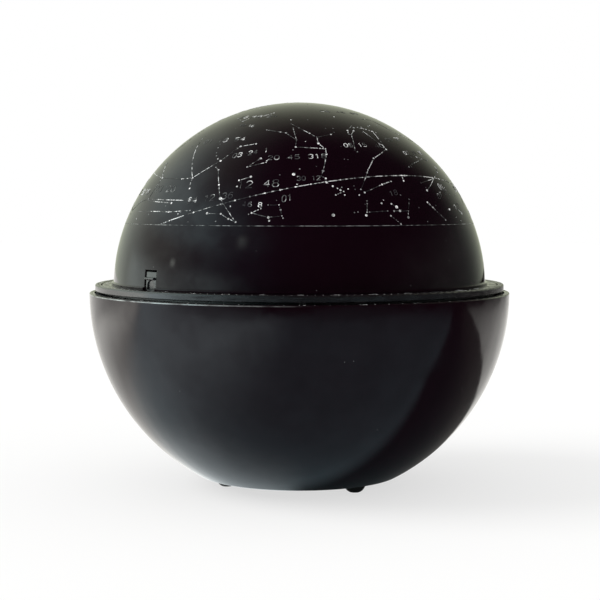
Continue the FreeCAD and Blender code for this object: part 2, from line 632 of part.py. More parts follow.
def motor_can():
    """Small flatted direct-current motor under the gearbox."""
    low, high = MOTOR_Z
    can = round_level_edges(cylinder(MOTOR_RADIUS, low, high, MOTOR_AT), 0.8, low)
    keep = box((MOTOR_AT.x - 20, MOTOR_AT.x + 20), both(MOTOR_FLATS / 2), (low - 1, high + 1))
    return can.common(keep)


def motor_end_cap():
    """Moulded cap on the motor's lower end with its bearing boss and two terminals."""
    low = MOTOR_Z[0]
    boss = cylinder(3.0, low - 3.6, low - 2.2, MOTOR_AT)
    cap = cylinder(MOTOR_RADIUS - 1.6, low - 2.2, low, MOTOR_AT).fuse(boss)
    keep = box((MOTOR_AT.x - 20, MOTOR_AT.x + 20), both(6.4), (low - 5, low))
    cap = cap.common(keep)
    for x in (MOTOR_AT.x - 6.0, MOTOR_AT.x + 6.0):
        cap = cap.fuse(box((x - 0.25, x + 0.25), both(1.2), (low - 6.5, low - 2.0)))
    return cap.removeSplitter()


def drive_pinion():
    """Moulded pinion with a hub, pressed on the gearbox shaft."""
    tip = PINION_PITCH_RADIUS + 0.9 * MODULE
    root = PINION_PITCH_RADIUS - 1.2 * MODULE
    low, high = GEAR_Z
    hub_radius, hub_height = PINION_HUB
    pinion = extruded(gear_outline(PINION_TEETH, tip, root, BACKLASH, 4), low, high)
    pinion = pinion.fuse(cylinder(hub_radius, high, high + hub_height))
    pinion = pinion.cut(cylinder(SHAFT_RADIUS, low - 1, high + 2))
    pinion.translate(DRIVE_CENTRE)
    return pinion


def drive_shaft():
    """Steel output shaft of the gearbox."""
    top = GEAR_Z[1] + PINION_HUB[1]
    return round_level_edges(cylinder(SHAFT_RADIUS, SHAFT_BOTTOM_Z, top, DRIVE_CENTRE), 0.3, top)


def inner_cover():
    """Round plate over the gears, with a shallow groove near its edge, which keeps the turntable down."""
    low, high = COVER_Z
    groove = (COVER_RADIUS - 8, COVER_RADIUS - 6)
    sink = 0.5
    plate = revolved([
        (WIRE_HOLE_RADIUS, low), (COVER_RADIUS, low), (COVER_RADIUS, high - sink), (COVER_RADIUS - sink, high),
        (groove[1], high), (groove[1] - 0.6, high - sink), (groove[0] + 0.6, high - sink),
        (groove[0], high), (WIRE_HOLE_RADIUS, high),
    ])
    plate = drill(plate, 1.7, (low - 1, high + 1), on_circle(COVER_BOSS_CIRCLE, POST_BEARINGS))
    lamp_places = on_circle(LAMP_SCREW_CIRCLE, LAMP_SCREW_BEARINGS)
    return drill(plate, LAMP_SCREW["shank_radius"], (low - 1, high + 1), lamp_places)


# ---------------------------------------------------------------- turntable
def turntable():
    """Ring with the dome's seat on top, a guide rib and a ring gear below, and a slot for the catch."""
    web_low, web_high = WEB_Z
    flange_low = RIM_Z + TURN_GAP
    gear_low = GEAR_Z[0]
    gear_inner = RING_TIP_RADIUS - 1
    neck = DATE_RING_RADII[0] - 0.5
    seat_low = SEAT_Z - 1.8
    ring = revolved([
        (gear_inner, gear_low), (RING_BODY_RADIUS, gear_low), (RING_BODY_RADIUS, web_low),
        (GUIDE_RADII[0], web_low), (GUIDE_RADII[0], gear_low + 0.4), (GUIDE_RADII[1], gear_low + 0.4),
        (GUIDE_RADII[1], web_low), (TURNTABLE_BODY, web_low), (TURNTABLE_BODY, flange_low),
        (TURNTABLE_FLANGE, flange_low), (TURNTABLE_FLANGE, FLANGE_TOP_Z), (neck, FLANGE_TOP_Z),
        (neck, SEAT_Z - 0.4), (neck - 0.4, SEAT_Z), (TURNTABLE_BORE + 0.2, SEAT_Z),
        (TURNTABLE_BORE, SEAT_Z - 0.2), (TURNTABLE_BORE, seat_low), (TURNTABLE_WELL, seat_low),
        (TURNTABLE_WELL, web_high), (gear_inner, web_high),
    ])
    spaces = gear_outline(RING_TEETH, RING_ROOT_RADIUS, RING_TIP_RADIUS, -BACKLASH / 2, 2)
    ring = ring.cut(extruded(spaces, gear_low - 1, web_high + 1))
    slot_depth = (CATCH_SKIN - CATCH_THICKNESS - 1.6, TURNTABLE_WELL)
    slot_width = (CATCH_SIDES[0] - 0.4, CATCH_SIDES[1] + 0.4)
    slot = box(slot_depth, slot_width, (web_high, SEAT_Z + 1))
    return ring.cut(moved(slot, facing(CATCH_BEARING))).removeSplitter()


def date_ring():
    """Outer trim ring with a rolled edge, carried on the turntable's flange."""
    inner, outer = DATE_RING_RADII
    low, top = RIM_Z + TURN_GAP, DATE_RING_TOP_Z
    return revolved([
        (TURNTABLE_FLANGE, low), (outer - 0.3, low), (outer, low + 0.3),
        *rounded_corner((outer, top), 0.7), (inner + 0.3, top), (inner, top - 0.3), (inner, FLANGE_TOP_Z),
        (TURNTABLE_FLANGE, FLANGE_TOP_Z),
    ])


# ---------------------------------------------------------------- dome and its catch
def star_dome():
    """The dome: a thin shell with a bead that sits on the turntable, a spigot below it and a notch."""
    inner = DOME_RADIUS - DOME_WALL
    bead_top = SEAT_Z + DOME_BEAD_HEIGHT
    bottom = SEAT_Z - SPIGOT_DEPTH
    outside = on_sphere(DOME_RADIUS, DOME_CENTRE_Z, bead_top)
    inside = on_sphere(inner, DOME_CENTRE_Z, bead_top)
    pole_out, pole_in = (0, DOME_CENTRE_Z + DOME_RADIUS), (0, DOME_CENTRE_Z + inner)
    shell = revolved([
        inside, (inner - 0.05, bottom), (SPIGOT_RADIUS - 0.5, bottom), (SPIGOT_RADIUS, bottom + 0.5),
        (SPIGOT_RADIUS, SEAT_Z), (DOME_BEAD_RADIUS, SEAT_Z), (DOME_BEAD_RADIUS, bead_top - 0.3),
        (DOME_BEAD_RADIUS - 0.3, bead_top), outside,
        sphere_arc(DOME_RADIUS, DOME_CENTRE_Z, outside, pole_out), pole_in,
        sphere_arc(inner, DOME_CENTRE_Z, pole_in, inside),
    ])
    notch = box((80, 110), both(NOTCH_WIDTH / 2), (bottom - 1, NOTCH_TOP_Z))
    return shell.cut(moved(notch, facing(CATCH_BEARING)))


def dome_catch():
    """Spring finger flush in the dome's notch, with a thumb ledge and an arched relief below it."""
    back = CATCH_SKIN - CATCH_THICKNESS
    bottom, top = WEB_Z[1], NOTCH_TOP_Z - CATCH_TOP_GAP
    skin_low, skin_high = (on_sphere(CATCH_SKIN, DOME_CENTRE_Z, z) for z in (SEAT_Z, top))
    finger = revolved([
        (back, bottom), (skin_low[0], bottom), skin_low,
        sphere_arc(CATCH_SKIN, DOME_CENTRE_Z, skin_low, skin_high), (skin_high[0] - CATCH_THICKNESS, top),
        (back, SEAT_Z),
    ])
    finger = finger.common(box((80, 110), CATCH_SIDES, (bottom, top)))
    foot_plate = box((back, TURNTABLE_WELL - 1.2), CATCH_SIDES, (bottom, bottom + 1.2))
    ledge_face = on_sphere(CATCH_SKIN, DOME_CENTRE_Z, LEDGE_Z[1])[0]
    ledge = box((ledge_face - 0.6, ledge_face + LEDGE_REACH), LEDGE_SIDES, LEDGE_Z)
    outer_edges = [e for e in ledge.Edges if e.BoundBox.XMin > ledge_face + LEDGE_REACH - 1e-4]
    ledge = ledge.makeFillet(0.45, outer_edges)
    catch = finger.fuse([foot_plate, ledge])
    arch_radius = 2.6
    arch_top = LEDGE_Z[0] - 0.2
    arch = Part.makeCylinder(arch_radius, 4, V(CATCH_SKIN - 0.9, 0, arch_top - arch_radius), X_AXIS)
    leg = box((CATCH_SKIN - 0.9, CATCH_SKIN + 3.1), both(arch_radius), (SEAT_Z + 0.3, arch_top - arch_radius))
    catch = catch.cut(arch.fuse(leg))
    return moved(catch.removeSplitter(), facing(CATCH_BEARING))


# ---------------------------------------------------------------- lamp
def rolled_thread(radius, depth, low, high, turns):
    """Outline steps up the side of a rolled shell whose screw form dips in by depth at each turn."""
    pitch = (high - low) / turns
    steps = [(radius, low)]
    for turn in range(turns):
        foot_z = low + pitch * turn
        steps.append(("arc", (radius - depth, foot_z + pitch / 2), (radius, foot_z + pitch)))
    return steps


def lamp_post():
    """Hollow tapered pillar with a screwed foot; the lamp's wires run up inside."""
    low, top = POST_BASE_Z, SOCKET_Z[0] + 2.0
    plate_top = low + 2.2
    socket_fit = SOCKET_RADII[1] + 0.05
    post = revolved([
        (POST_BORE, low), (POST_FOOT_RADIUS, low), (POST_FOOT_RADIUS, plate_top - 0.6),
        (POST_FOOT_RADIUS - 0.6, plate_top), (11.0, plate_top), ("arc", (9.2, low + 3.0), (8.6, low + 5.0)),
        (7.4, top - 1.0), (6.9, top), (socket_fit, top), (socket_fit, SOCKET_Z[0]), (POST_BORE, SOCKET_Z[0]),
    ])
    post = drill(post, LAMP_SCREW["shank_radius"] + 0.3, (low - 1, low + 4),
                 on_circle(LAMP_SCREW_CIRCLE, LAMP_SCREW_BEARINGS))
    for bearing in LAMP_SCREW_BEARINGS:
        start = V(7.0, -0.7, plate_top - 0.1)
        corners = [start, V(14.0, -0.7, plate_top - 0.1), V(7.0, -0.7, low + 14), start]
        web = Part.Face(Part.makePolygon(corners)).extrude(V(0, 1.4, 0))
        post = post.fuse(moved(web, facing(bearing + 60)))
    return post.removeSplitter()


def lamp_socket():
    """Rolled brass shell that the lamp screws into, seated in the top of the post."""
    low, top = SOCKET_Z
    inner, outer = SOCKET_RADII
    return revolved([
        (inner, low), (outer, low), *rolled_thread(outer, 0.3, low + 2.2, top - 1.0, 5),
        (outer + 0.45, top - 0.6), (outer + 0.45, top), (inner + 0.25, top), (inner, top - 0.5),
    ])


def lamp_insulator():
    """Fibre washer that holds the centre contact."""
    low = SOCKET_Z[0] + 0.2
    outer = SOCKET_RADII[0] - 0.05
    return revolved([(1.2, low), (outer, low), (outer, low + 1.2), (1.2, low + 1.2)])


def lamp_contact():
    """Headed pin through the washer, under the lamp."""
    tail, head_low, head_top = SOCKET_Z[0] - 4.0, SOCKET_Z[0] + 1.5, SOCKET_Z[0] + 1.9
    return revolved([(0, tail), (1.15, tail), (1.15, head_low), (2.2, head_low), (2.2, head_top), (0, head_top)])


def lamp_cap():
    """Screw cap of the lamp, with its solder bead."""
    low = SOCKET_Z[0] + 1.9
    top = LAMP_Z - 5.2
    return revolved([
        (0, low), (1.6, low), (1.9, low + 0.6), (CAP_RADIUS - 0.6, low + 1.6),
        *rolled_thread(CAP_RADIUS, 0.35, low + 2.0, top - 1.4, 4),
        (CAP_RADIUS, top), (CAP_RADIUS - 0.4, top), (CAP_RADIUS - 0.4, top - 1.0), (0, top - 1.0),
    ])


def lamp_glass():
    """Blown glass globe round the filament, drawn in to a neck that sits in the cap."""
    foot_z = LAMP_Z - 5.8
    neck = CAP_RADIUS - 0.45
    bore = neck - GLASS_WALL
    hollow = GLASS_RADIUS - GLASS_WALL
    shoulder = (neck, LAMP_Z - math.sqrt(GLASS_RADIUS ** 2 - neck ** 2))
    inside_shoulder = (bore, LAMP_Z - math.sqrt(hollow ** 2 - bore ** 2))
    pole_out, pole_in = (0, LAMP_Z + GLASS_RADIUS), (0, LAMP_Z + hollow)
    return revolved([
        (bore, foot_z), (neck, foot_z), shoulder, sphere_arc(GLASS_RADIUS, LAMP_Z, shoulder, pole_out),
        pole_in, sphere_arc(hollow, LAMP_Z, pole_in, inside_shoulder),
    ])


def lamp_filament():
    """Two support wires, a glass bead between them, and the coil that they hold."""
    foot_z = LAMP_Z - 6.2
    spread = 1.3
    bead = Part.makeCylinder(0.6, 3.4, V(-1.7, 0, LAMP_Z - 3.4), X_AXIS)
    coil = Part.makeCylinder(0.22, 2 * spread, V(-spread, 0, LAMP_Z), X_AXIS)
    supports = [cylinder(0.2, foot_z, LAMP_Z, V(x, 0, 0)) for x in both(spread)]
    return bead.fuse(supports + [coil]).removeSplitter()


# ---------------------------------------------------------------- fasteners
def head_tops(screw_kind, seat_z):
    """Height of the top of a screw's head when the head sits on a face at seat_z."""
    return seat_z + screw_kind["head_height"]


def save_fasteners():
    deck_top = head_tops(DECK_SCREW, DECK_Z[1])
    save("deck_screws", *placed_screws(DECK_SCREW, on_circle(POST_CIRCLE, POST_BEARINGS, deck_top)))
    sunk = DECK_Z[1] - 0.1
    save("gearbox_screws", *placed_screws(GEARBOX_SCREW, [V(x, y, sunk) for x, y in GEARBOX_SCREWS]))
    bay_top = head_tops(BAY_SCREW, FLOOR_Z + 1.8)
    bay_screws = placed_screws(BAY_SCREW, [V(x, y, bay_top) for x, y in BAY_SCREWS])
    save("battery_box_screws", *[moved(s, facing(BATTERY_BEARING)) for s in bay_screws])
    cover_top = head_tops(COVER_SCREW, COVER_Z[1])
    save("cover_screws", *placed_screws(COVER_SCREW, on_circle(COVER_BOSS_CIRCLE, POST_BEARINGS, cover_top)))
    lamp_top = head_tops(LAMP_SCREW, POST_BASE_Z + 2.2)
    lamp_places = on_circle(LAMP_SCREW_CIRCLE, LAMP_SCREW_BEARINGS, lamp_top)
    save("lamp_screws", *placed_screws(LAMP_SCREW, lamp_places))
    save("switch_screws", *switch_screws())


def main():
    os.makedirs("parts", exist_ok=True)
    save("bowl", bowl())
    for name, bearing in FEET_BEARINGS.items():
        save(name, foot(bearing))
    save("battery_box", battery_box())
    for index in range(3):
        save(f"battery_cell_{index + 1}", cell(index))
    save("battery_springs", *[contact_spring(i) for i in range(3)])
    save("battery_contacts", *contact_plates())
    save("battery_door", battery_door())
    save("switch_plate", switch_plate())
    save("switch_body", switch_body())
    save("switch_slider", switch_slider())
    save("deck", deck())
    save("gearbox_case", gearbox_case())
    save("motor_can", motor_can())
    save("motor_end_cap", motor_end_cap())
    save("drive_pinion", drive_pinion())
    save("drive_shaft", drive_shaft())
    save("inner_cover", inner_cover())
    for name, bearing in ROLLER_BEARINGS.items():
        save(name, roller(bearing))
    save("roller_axles", *[roller_axle(b) for b in ROLLER_BEARINGS.values()])
    save("turntable", turntable())
    save("date_ring", date_ring())
    save("star_dome", star_dome())
    save("dome_catch", dome_catch())
    save("lamp_post", lamp_post())
    save("lamp_socket", lamp_socket())
    save("lamp_insulator", lamp_insulator())
    save("lamp_contact", lamp_contact())
    save("lamp_cap", lamp_cap())
    save("lamp_glass", lamp_glass())
    save("lamp_filament", lamp_filament())
    save_fasteners()


main()
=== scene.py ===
# %% [markdown]
# # A home planetarium projector
#
# The object is a black ball in two halves. The bowl below holds the cells, the switch and a small
# geared motor. The star dome above is printed with a chart and stands on a ring, which the motor
# turns slowly, so that the sky thrown on the ceiling turns as the real one does.
#
# The moulded parts come ready from the solid model. This lesson gives each the finish of its real
# material, prints the chart and the scales, and sets up a small white studio round the ball.

# %% Load the model
import json
import math
import random

import bpy
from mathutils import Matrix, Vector


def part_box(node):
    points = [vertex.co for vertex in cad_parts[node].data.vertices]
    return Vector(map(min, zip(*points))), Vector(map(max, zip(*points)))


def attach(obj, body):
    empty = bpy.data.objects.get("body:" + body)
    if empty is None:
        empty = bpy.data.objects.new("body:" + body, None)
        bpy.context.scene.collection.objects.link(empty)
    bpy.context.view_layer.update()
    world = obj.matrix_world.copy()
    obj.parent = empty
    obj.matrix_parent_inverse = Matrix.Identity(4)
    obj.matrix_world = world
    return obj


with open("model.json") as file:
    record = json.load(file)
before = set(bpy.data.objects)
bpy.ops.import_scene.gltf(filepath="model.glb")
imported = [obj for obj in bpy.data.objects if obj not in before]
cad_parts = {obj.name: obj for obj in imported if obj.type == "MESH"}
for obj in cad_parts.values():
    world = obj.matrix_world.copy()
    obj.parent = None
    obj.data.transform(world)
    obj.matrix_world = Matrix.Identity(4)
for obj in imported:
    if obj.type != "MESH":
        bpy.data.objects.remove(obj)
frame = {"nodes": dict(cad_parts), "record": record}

MM = 0.001
scene = bpy.context.scene
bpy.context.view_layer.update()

# %% [markdown]
# ## The camera
#
# A product picture of a ball is taken from some way off and a little above its middle, so that the
# outline stays round and the rim draws as a thin ellipse. A long lens at 0.81 m, tipped a few
# degrees down, gives that.

# %% Camera
CAMERA_DISTANCE = 812.3 * MM
CAMERA_HEIGHT = 152.1 * MM
CAMERA_TIP = math.radians(3.87)
CAMERA_SENSOR = 36.0  # millimetres across
CAMERA_LENS = 92.37  # millimetres
CAMERA_SHIFT = 0.001  # a hair sideways, as a share of the picture
NEAREST_SEEN = 10 * MM

camera = bpy.data.objects.new("camera", bpy.data.cameras.new("camera"))
camera.data.sensor_width = CAMERA_SENSOR
camera.data.lens = CAMERA_LENS
camera.data.shift_x = CAMERA_SHIFT
camera.data.clip_start = NEAREST_SEEN
camera.location = (0.0, -CAMERA_DISTANCE, CAMERA_HEIGHT)
camera.rotation_euler = (math.pi / 2 - CAMERA_TIP, 0.0, 0.0)
scene.collection.objects.link(camera)
scene.camera = camera
scene.view_settings.view_transform = "Standard"
print("camera at", tuple(camera.location))

# %% [markdown]
# ## Small tools for node trees
#
# Materials, the world and the printing trees are all node graphs. One function adds a node and
# links it; the others are for sums, changes of range and mixes of two colours. Colours are hex
# codes, as on a paint chart, turned into the linear light that a renderer works in.

# %% Node and colour helpers
def add(tree, kind, links=None, **settings):
    """Adds a node. Each entry of links sets an input to a value, or links it to an output; a node
    stands for its first output."""
    node = tree.nodes.new(kind)
    for name, value in settings.items():
        setattr(node, name, value)
    for key, value in (links or {}).items():
        value = value.outputs[0] if isinstance(value, bpy.types.Node) else value
        if isinstance(value, bpy.types.NodeSocket):
            tree.links.new(value, node.inputs[key])
        else:
            node.inputs[key].default_value = value
    return node


def calc(tree, operation, *values):
    """The result of one sum on numbers or outputs."""
    return add(tree, "ShaderNodeMath", dict(enumerate(values)), operation=operation).outputs[0]


def times(tree, first, second):
    return calc(tree, "MULTIPLY", first, second)


def ramp(tree, value, start, end):
    """0 before start and 1 past end, with a smooth rise; end may be the lower of the two."""
    return add(tree, "ShaderNodeMapRange", {"Value": value, "From Min": start, "From Max": end},
               interpolation_type="SMOOTHSTEP").outputs[0]


def rescale(tree, value, low, high, to_low=0.0, to_high=1.0):
    """Turns the range low to high into another, in a straight line that stops at both ends."""
    limits = {"From Min": low, "From Max": high, "To Min": to_low, "To Max": to_high}
    return add(tree, "ShaderNodeMapRange", {"Value": value, **limits}).outputs[0]


def paint(code):
    """Linear colour from an sRGB hex code."""
    channels = [int(code[i:i + 2], 16) / 255 for i in (1, 3, 5)]
    return (*[c / 12.92 if c <= 0.04045 else ((c + 0.055) / 1.055) ** 2.4 for c in channels], 1.0)


def blend(tree, share, first, second):
    """The first colour at a share of 0 and the second at 1; each a hex code or an output."""
    first, second = (paint(c) if isinstance(c, str) else c for c in (first, second))
    return add(tree, "ShaderNodeMix", {"Factor": share, "A": first, "B": second},
               data_type="RGBA").outputs[2]


def span(tree, value, unit, begins, full, still, ends):
    """A soft-edged stretch: 0 up to begins, 1 from full to still, 0 from ends on."""
    return times(tree, ramp(tree, value, begins * unit, full * unit),
                 ramp(tree, value, ends * unit, still * unit))


def add_light(tree, so_far, patch, tint, strength):
    """Adds coloured light, where patch lets it, to the light that there is so far."""
    light = [strength * channel for channel in paint(tint)[:3]]
    return add(tree, "ShaderNodeVectorMath", {0: patch, 1: light, 2: so_far},
               operation="MULTIPLY_ADD").outputs[0]


print("mid grey in linear light:", [round(c, 3) for c in paint("#808080")[:3]])

# %% [markdown]
# ## The studio
#
# Polished black plastic has hardly any colour of its own. What the eye reads as its shape is the
# room mirrored in it, so the room matters more than the lamps. The room is painted on the world by
# compass angle and height. This cell reads both from the direction of a ray: the compass is 0 in
# front of the ball and 90 on its right, and folded, it is the same on the left and the right.

# %% Compass and height
world = bpy.data.worlds.new("studio")
scene.world = world
world.use_nodes = True
sky = world.node_tree
sky.nodes.clear()

look = add(sky, "ShaderNodeTexCoord").outputs["Generated"]
axes = add(sky, "ShaderNodeSeparateXYZ", {0: look}).outputs
compass = calc(sky, "ARCTAN2", axes[0], times(sky, axes[1], -1.0))
folded_compass = calc(sky, "ABSOLUTE", compass)
rise = calc(sky, "ARCSINE", axes[2])
print("compass and height ready for", world.name)

# %% [markdown]
# ## What stands in the room
#
# A white wall behind the ball gives its outline the pale edge. A large soft panel on the left, with
# its glow on the wall round it, draws the long light on that side. In front and on the right the
# room is dark, which keeps the rest of the ball deep black. A small window and a small lamp on the
# left leave two faint spots in the dome. Every edge is soft, and what reaches the back is folded or
# fades out before it, so that no seam shows there.

# %% The painted room
# name: (compass folded?, span of the compass, span of height, colour, brightness). A span is four
# angles in degrees: where the light begins, is full, is still full and ends.
STUDIO = {
    "pale wall behind": (True, (120, 180, 395, 405), (-95, -85, 23, 83), "#f8ffe2", 0.63),
    "soft panel, left": (False, (-161, -81, -108, -8), (16, 28, 34, 60), "#d0f2fa", 1.12),
    "panel's wide glow": (False, (-178, -126, -120, -30), (-95, -85, 16, 88), "#ecf6ea", 0.96),
    "panel's cool edge": (False, (-100, -50, -128, 12), (-95, -85, 16, 88), "#a0f0ff", 0.45),
    "far edge of the table": (False, (-135, -115, -74, -20), (-95, -85, 3, 13), "#e6f6f6", 0.95),
    "small window, left": (False, (-44.5, -36.5, -40.5, -32.5), (23, 31, 28, 34), "#eefaf0", 2.2),
    "small lamp, left": (False, (-87.5, -84.5, -84.5, -81.5), (9, 12, 11.5, 14.5), "#f4fbf2", 3.0),
    "pale side, right": (False, (34, 106, 141, 169), (-70, -50, 7, 31), "#e6f6ea", 0.15),
}
DEGREE = math.radians(1)
room_light = (0.02, 0.02, 0.02)  # what even the darkest corner gives
for folded, across, up, tint, strength in STUDIO.values():
    patch = times(sky, span(sky, folded_compass if folded else compass, DEGREE, *across),
                  span(sky, rise, DEGREE, *up))
    room_light = add_light(sky, room_light, patch, tint, strength)
print("in the room:", "; ".join(STUDIO))

# %% [markdown]
# ## Who sees the room
#
# The world does three jobs, told apart by the kind of ray that asks. The camera, and light through
# glass, see plain white. A mirror ray sees the painted room. All else gets an even level, at which
# a colour renders about as it is written.

# %% World
EVEN_LEVEL = 0.80

ray = add(sky, "ShaderNodeLightPath").outputs
by_kind = blend(sky, ray["Is Glossy Ray"], (*[EVEN_LEVEL] * 3, 1.0), room_light)
straight = calc(sky, "MAXIMUM", ray["Is Camera Ray"], ray["Is Transmission Ray"])
seen = blend(sky, straight, by_kind, "#ffffff")
shine = add(sky, "ShaderNodeBackground", {"Color": seen, "Strength": 1.0})
add(sky, "ShaderNodeOutputWorld", {"Surface": shine})
print("even level of light:", EVEN_LEVEL)

# %% [markdown]
# ## The table
#
# The ball stands on a pale laminate table that runs into the white wall. The camera sees it
# over-exposed, as in a catalogue picture, but with the shadow still on it, so for the camera it is
# part paint, which takes the shadow, and part light of its own.

# %% Floor
def fresh_material(name):
    """A material with an empty tree, and the place on the object, which its patterns read."""
    material = bpy.data.materials.new(name)
    material.use_nodes = True
    tree = material.node_tree
    tree.nodes.clear()
    return material, tree, add(tree, "ShaderNodeTexCoord").outputs["Object"]


HALF_FLOOR = 4.0
OVER_EXPOSURE = 0.66

floor_mesh = bpy.data.meshes.new("table_top")
corners = [(x * HALF_FLOOR, y * HALF_FLOOR, 0.0) for x, y in ((-1, -1), (1, -1), (1, 1), (-1, 1))]
floor_mesh.from_pydata(corners, [], [(0, 1, 2, 3)])
floor = bpy.data.objects.new("table_top", floor_mesh)
scene.collection.objects.link(floor)

laminate, table, place = fresh_material("white_laminate")
plain = add(table, "ShaderNodeBsdfDiffuse", {"Color": paint("#f4f4f3")})
shaded = add(table, "ShaderNodeBsdfDiffuse", {"Color": paint("#959594")})
glare = add(table, "ShaderNodeEmission", {"Color": paint("#ffffff"), "Strength": OVER_EXPOSURE})
in_picture = add(table, "ShaderNodeAddShader", {0: shaded, 1: glare})
print("table top", 2 * HALF_FLOOR, "m wide")

# %% [markdown]
# ## The table as the ball mirrors it, painted with light and shadow
#
# Mirror rays don't see the lit table but one painted with light and shade: grey in front,
# painted light where the panel and the wall spill over it on the left and at the back, and fading
# into the dark room. The ball's shadow is painted on it as a wedge that opens to the right, and
# gives the bowl its dark crescent.

# %% Mirrored table
# painted light on the mirrored table, name: (colour, brightness, span to the right, span away),
# in millimetres from the ball's axis
PAINTED_SPILL = {
    "room": ("#ccf1ff", 0.46, (1100, 100, -5000, -6000), (-1000, -350, -60, 40)),
    "panel": ("#eaf6fa", 1.30, (0, -200, -5000, -6000), (-820, -230, -80, 60)),
    "far panel": ("#fffdf6", 1.35, (-200, -550, -2000, -3000), (-20, 60, 100, 600)),
    "by the foot": ("#ffffff", 0.50, (12, -20, -60, -120), (-90, -45, 0, 60)),
    "wall": ("#fffdf8", 1.05, (1300, 300, -5000, -6000), (-60, 40, 5000, 6000)),
}
# The ball's shadow on the mirrored table is painted, as a dark wedge.
WEDGE_LENGTH = 160 * MM  # over which the shadow widens
WEDGE_SLOPE = 0.25
WEDGE_SIDES = (60 * MM, 44 * MM)  # from the middle line: begins, is full
WEDGE_ENTRY = (-10 * MM, 4 * MM)  # from the ball's axis to the right: begins, is full
WEDGE_DEPTH = 0.88  # share of the light that it takes

right, far = add(table, "ShaderNodeSeparateXYZ", {0: place}).outputs[:2]
table_light = (0.0, 0.0, 0.0)
for tint, strength, across, away in PAINTED_SPILL.values():
    patch = times(table, span(table, right, MM, *across), span(table, far, MM, *away))
    table_light = add_light(table, table_light, patch, tint, strength)

# Painted shadow: a wedge that takes light from the table to the right of the ball.
widening = calc(table, "MINIMUM", right, WEDGE_LENGTH)
off_wedge = calc(table, "MULTIPLY_ADD", widening, -WEDGE_SLOPE, calc(table, "ABSOLUTE", far))
shadow = times(table, ramp(table, off_wedge, *WEDGE_SIDES), ramp(table, right, *WEDGE_ENTRY))
unshaded = calc(table, "MULTIPLY_ADD", shadow, -WEDGE_DEPTH, 1.0)
# What mirror rays see: the painted light, with the painted shadow taken out of it.
painted_table_in_mirror = add(table, "ShaderNodeEmission", {"Color": table_light, "Strength": unshaded})

ray = add(table, "ShaderNodeLightPath").outputs
elsewhere = add(table, "ShaderNodeMixShader", {0: ray["Is Glossy Ray"], 1: plain, 2: painted_table_in_mirror})
face = add(table, "ShaderNodeMixShader", {0: ray["Is Camera Ray"], 1: elsewhere, 2: in_picture})
add(table, "ShaderNodeOutputMaterial", {"Surface": face})
floor.data.materials.append(laminate)
print("light that lies on the table:", ", ".join(PAINTED_SPILL))

# %% [markdown]
# ## The key light
#
# A large lamp on the left lays the ball's shadow softly to the right. It isn't mirrored itself: the
# painted panel stands in for it there.

# %% Lamp
KEY_ENERGY = 2.0
KEY_SPREAD = math.radians(40)  # so wide that its shadows have no edge
KEY_FROM = Vector((-0.82, -0.1, 0.6))

key = bpy.data.objects.new("key_light", bpy.data.lights.new("key_light", "SUN"))
key.data.energy = KEY_ENERGY
key.data.angle = KEY_SPREAD
key.rotation_euler = KEY_FROM.to_track_quat("Z", "Y").to_euler()
key.visible_glossy = False
scene.collection.objects.link(key)
print("key light energy", key.data.energy)

# %% [markdown]
# ## Patterns that every finish uses
#
# No real surface has one even colour, gloss or height. Cloudy noise of a known size is behind most
# of what varies, and fine relief comes from bending the surface's normal.

# %% Pattern helpers
def noise(tree, place, size, detail=2.0):
    """Cloudy noise from 0 to 1; size is how far it is from one cloud to the next."""
    return add(tree, "ShaderNodeTexNoise", {
        "Vector": place, "Scale": 1 / size, "Detail": detail}).outputs["Fac"]


def drawn_out(tree, place, scale, turn=0.0):
    """Turned about the upright, for a pattern longer along an axis where scale is less than 1."""
    return add(tree, "ShaderNodeMapping", {
        "Vector": place, "Rotation": (0.0, 0.0, turn), "Scale": scale}).outputs[0]


def relief(tree, height, depth, **more):
    """A normal bent by bumps of the given depth."""
    return add(tree, "ShaderNodeBump", {
        "Height": height, "Distance": depth, "Strength": 1.0, **more}).outputs[0]


def surface(tree, inputs):
    """Ends a material's tree, with these inputs of the shader."""
    shader = add(tree, "ShaderNodeBsdfPrincipled", inputs)
    add(tree, "ShaderNodeOutputMaterial", {"Surface": shader})


print("pattern helpers: noise, drawn_out, relief, surface")

# %% [markdown]
# ## Polished black plastic
#
# The dome and the bowl are moulded in ABS from a polished tool, and such gloss is never perfect. It
# has a faint orange peel from the way the plastic shrinks, fine rub marks from being dusted, a few
# specks of dust, and soft patches where the grease of hands dulls it. At low strength, these keep a
# black ball from looking like a drawing of one.

# %% Gloss plastic
TONE_CLOUD = 45 * MM
DUST_SPACING = 8 * MM
DUST_SPECK = (0.016, 0.032)  # solid and gone, as shares of the spacing
RUB_MARK = 0.8 * MM  # wider than real ones, so that they show
RUB_RUN = (0.12, 0.12, 1.0)  # drawn out round the ball
RUB_PATCH = 30 * MM
HAND_PATCH = 15 * MM
HAND_GREASE = 0.05  # what it adds to the roughness
PEEL = 5 * MM
ROUNDED_EDGE = 0.6 * MM


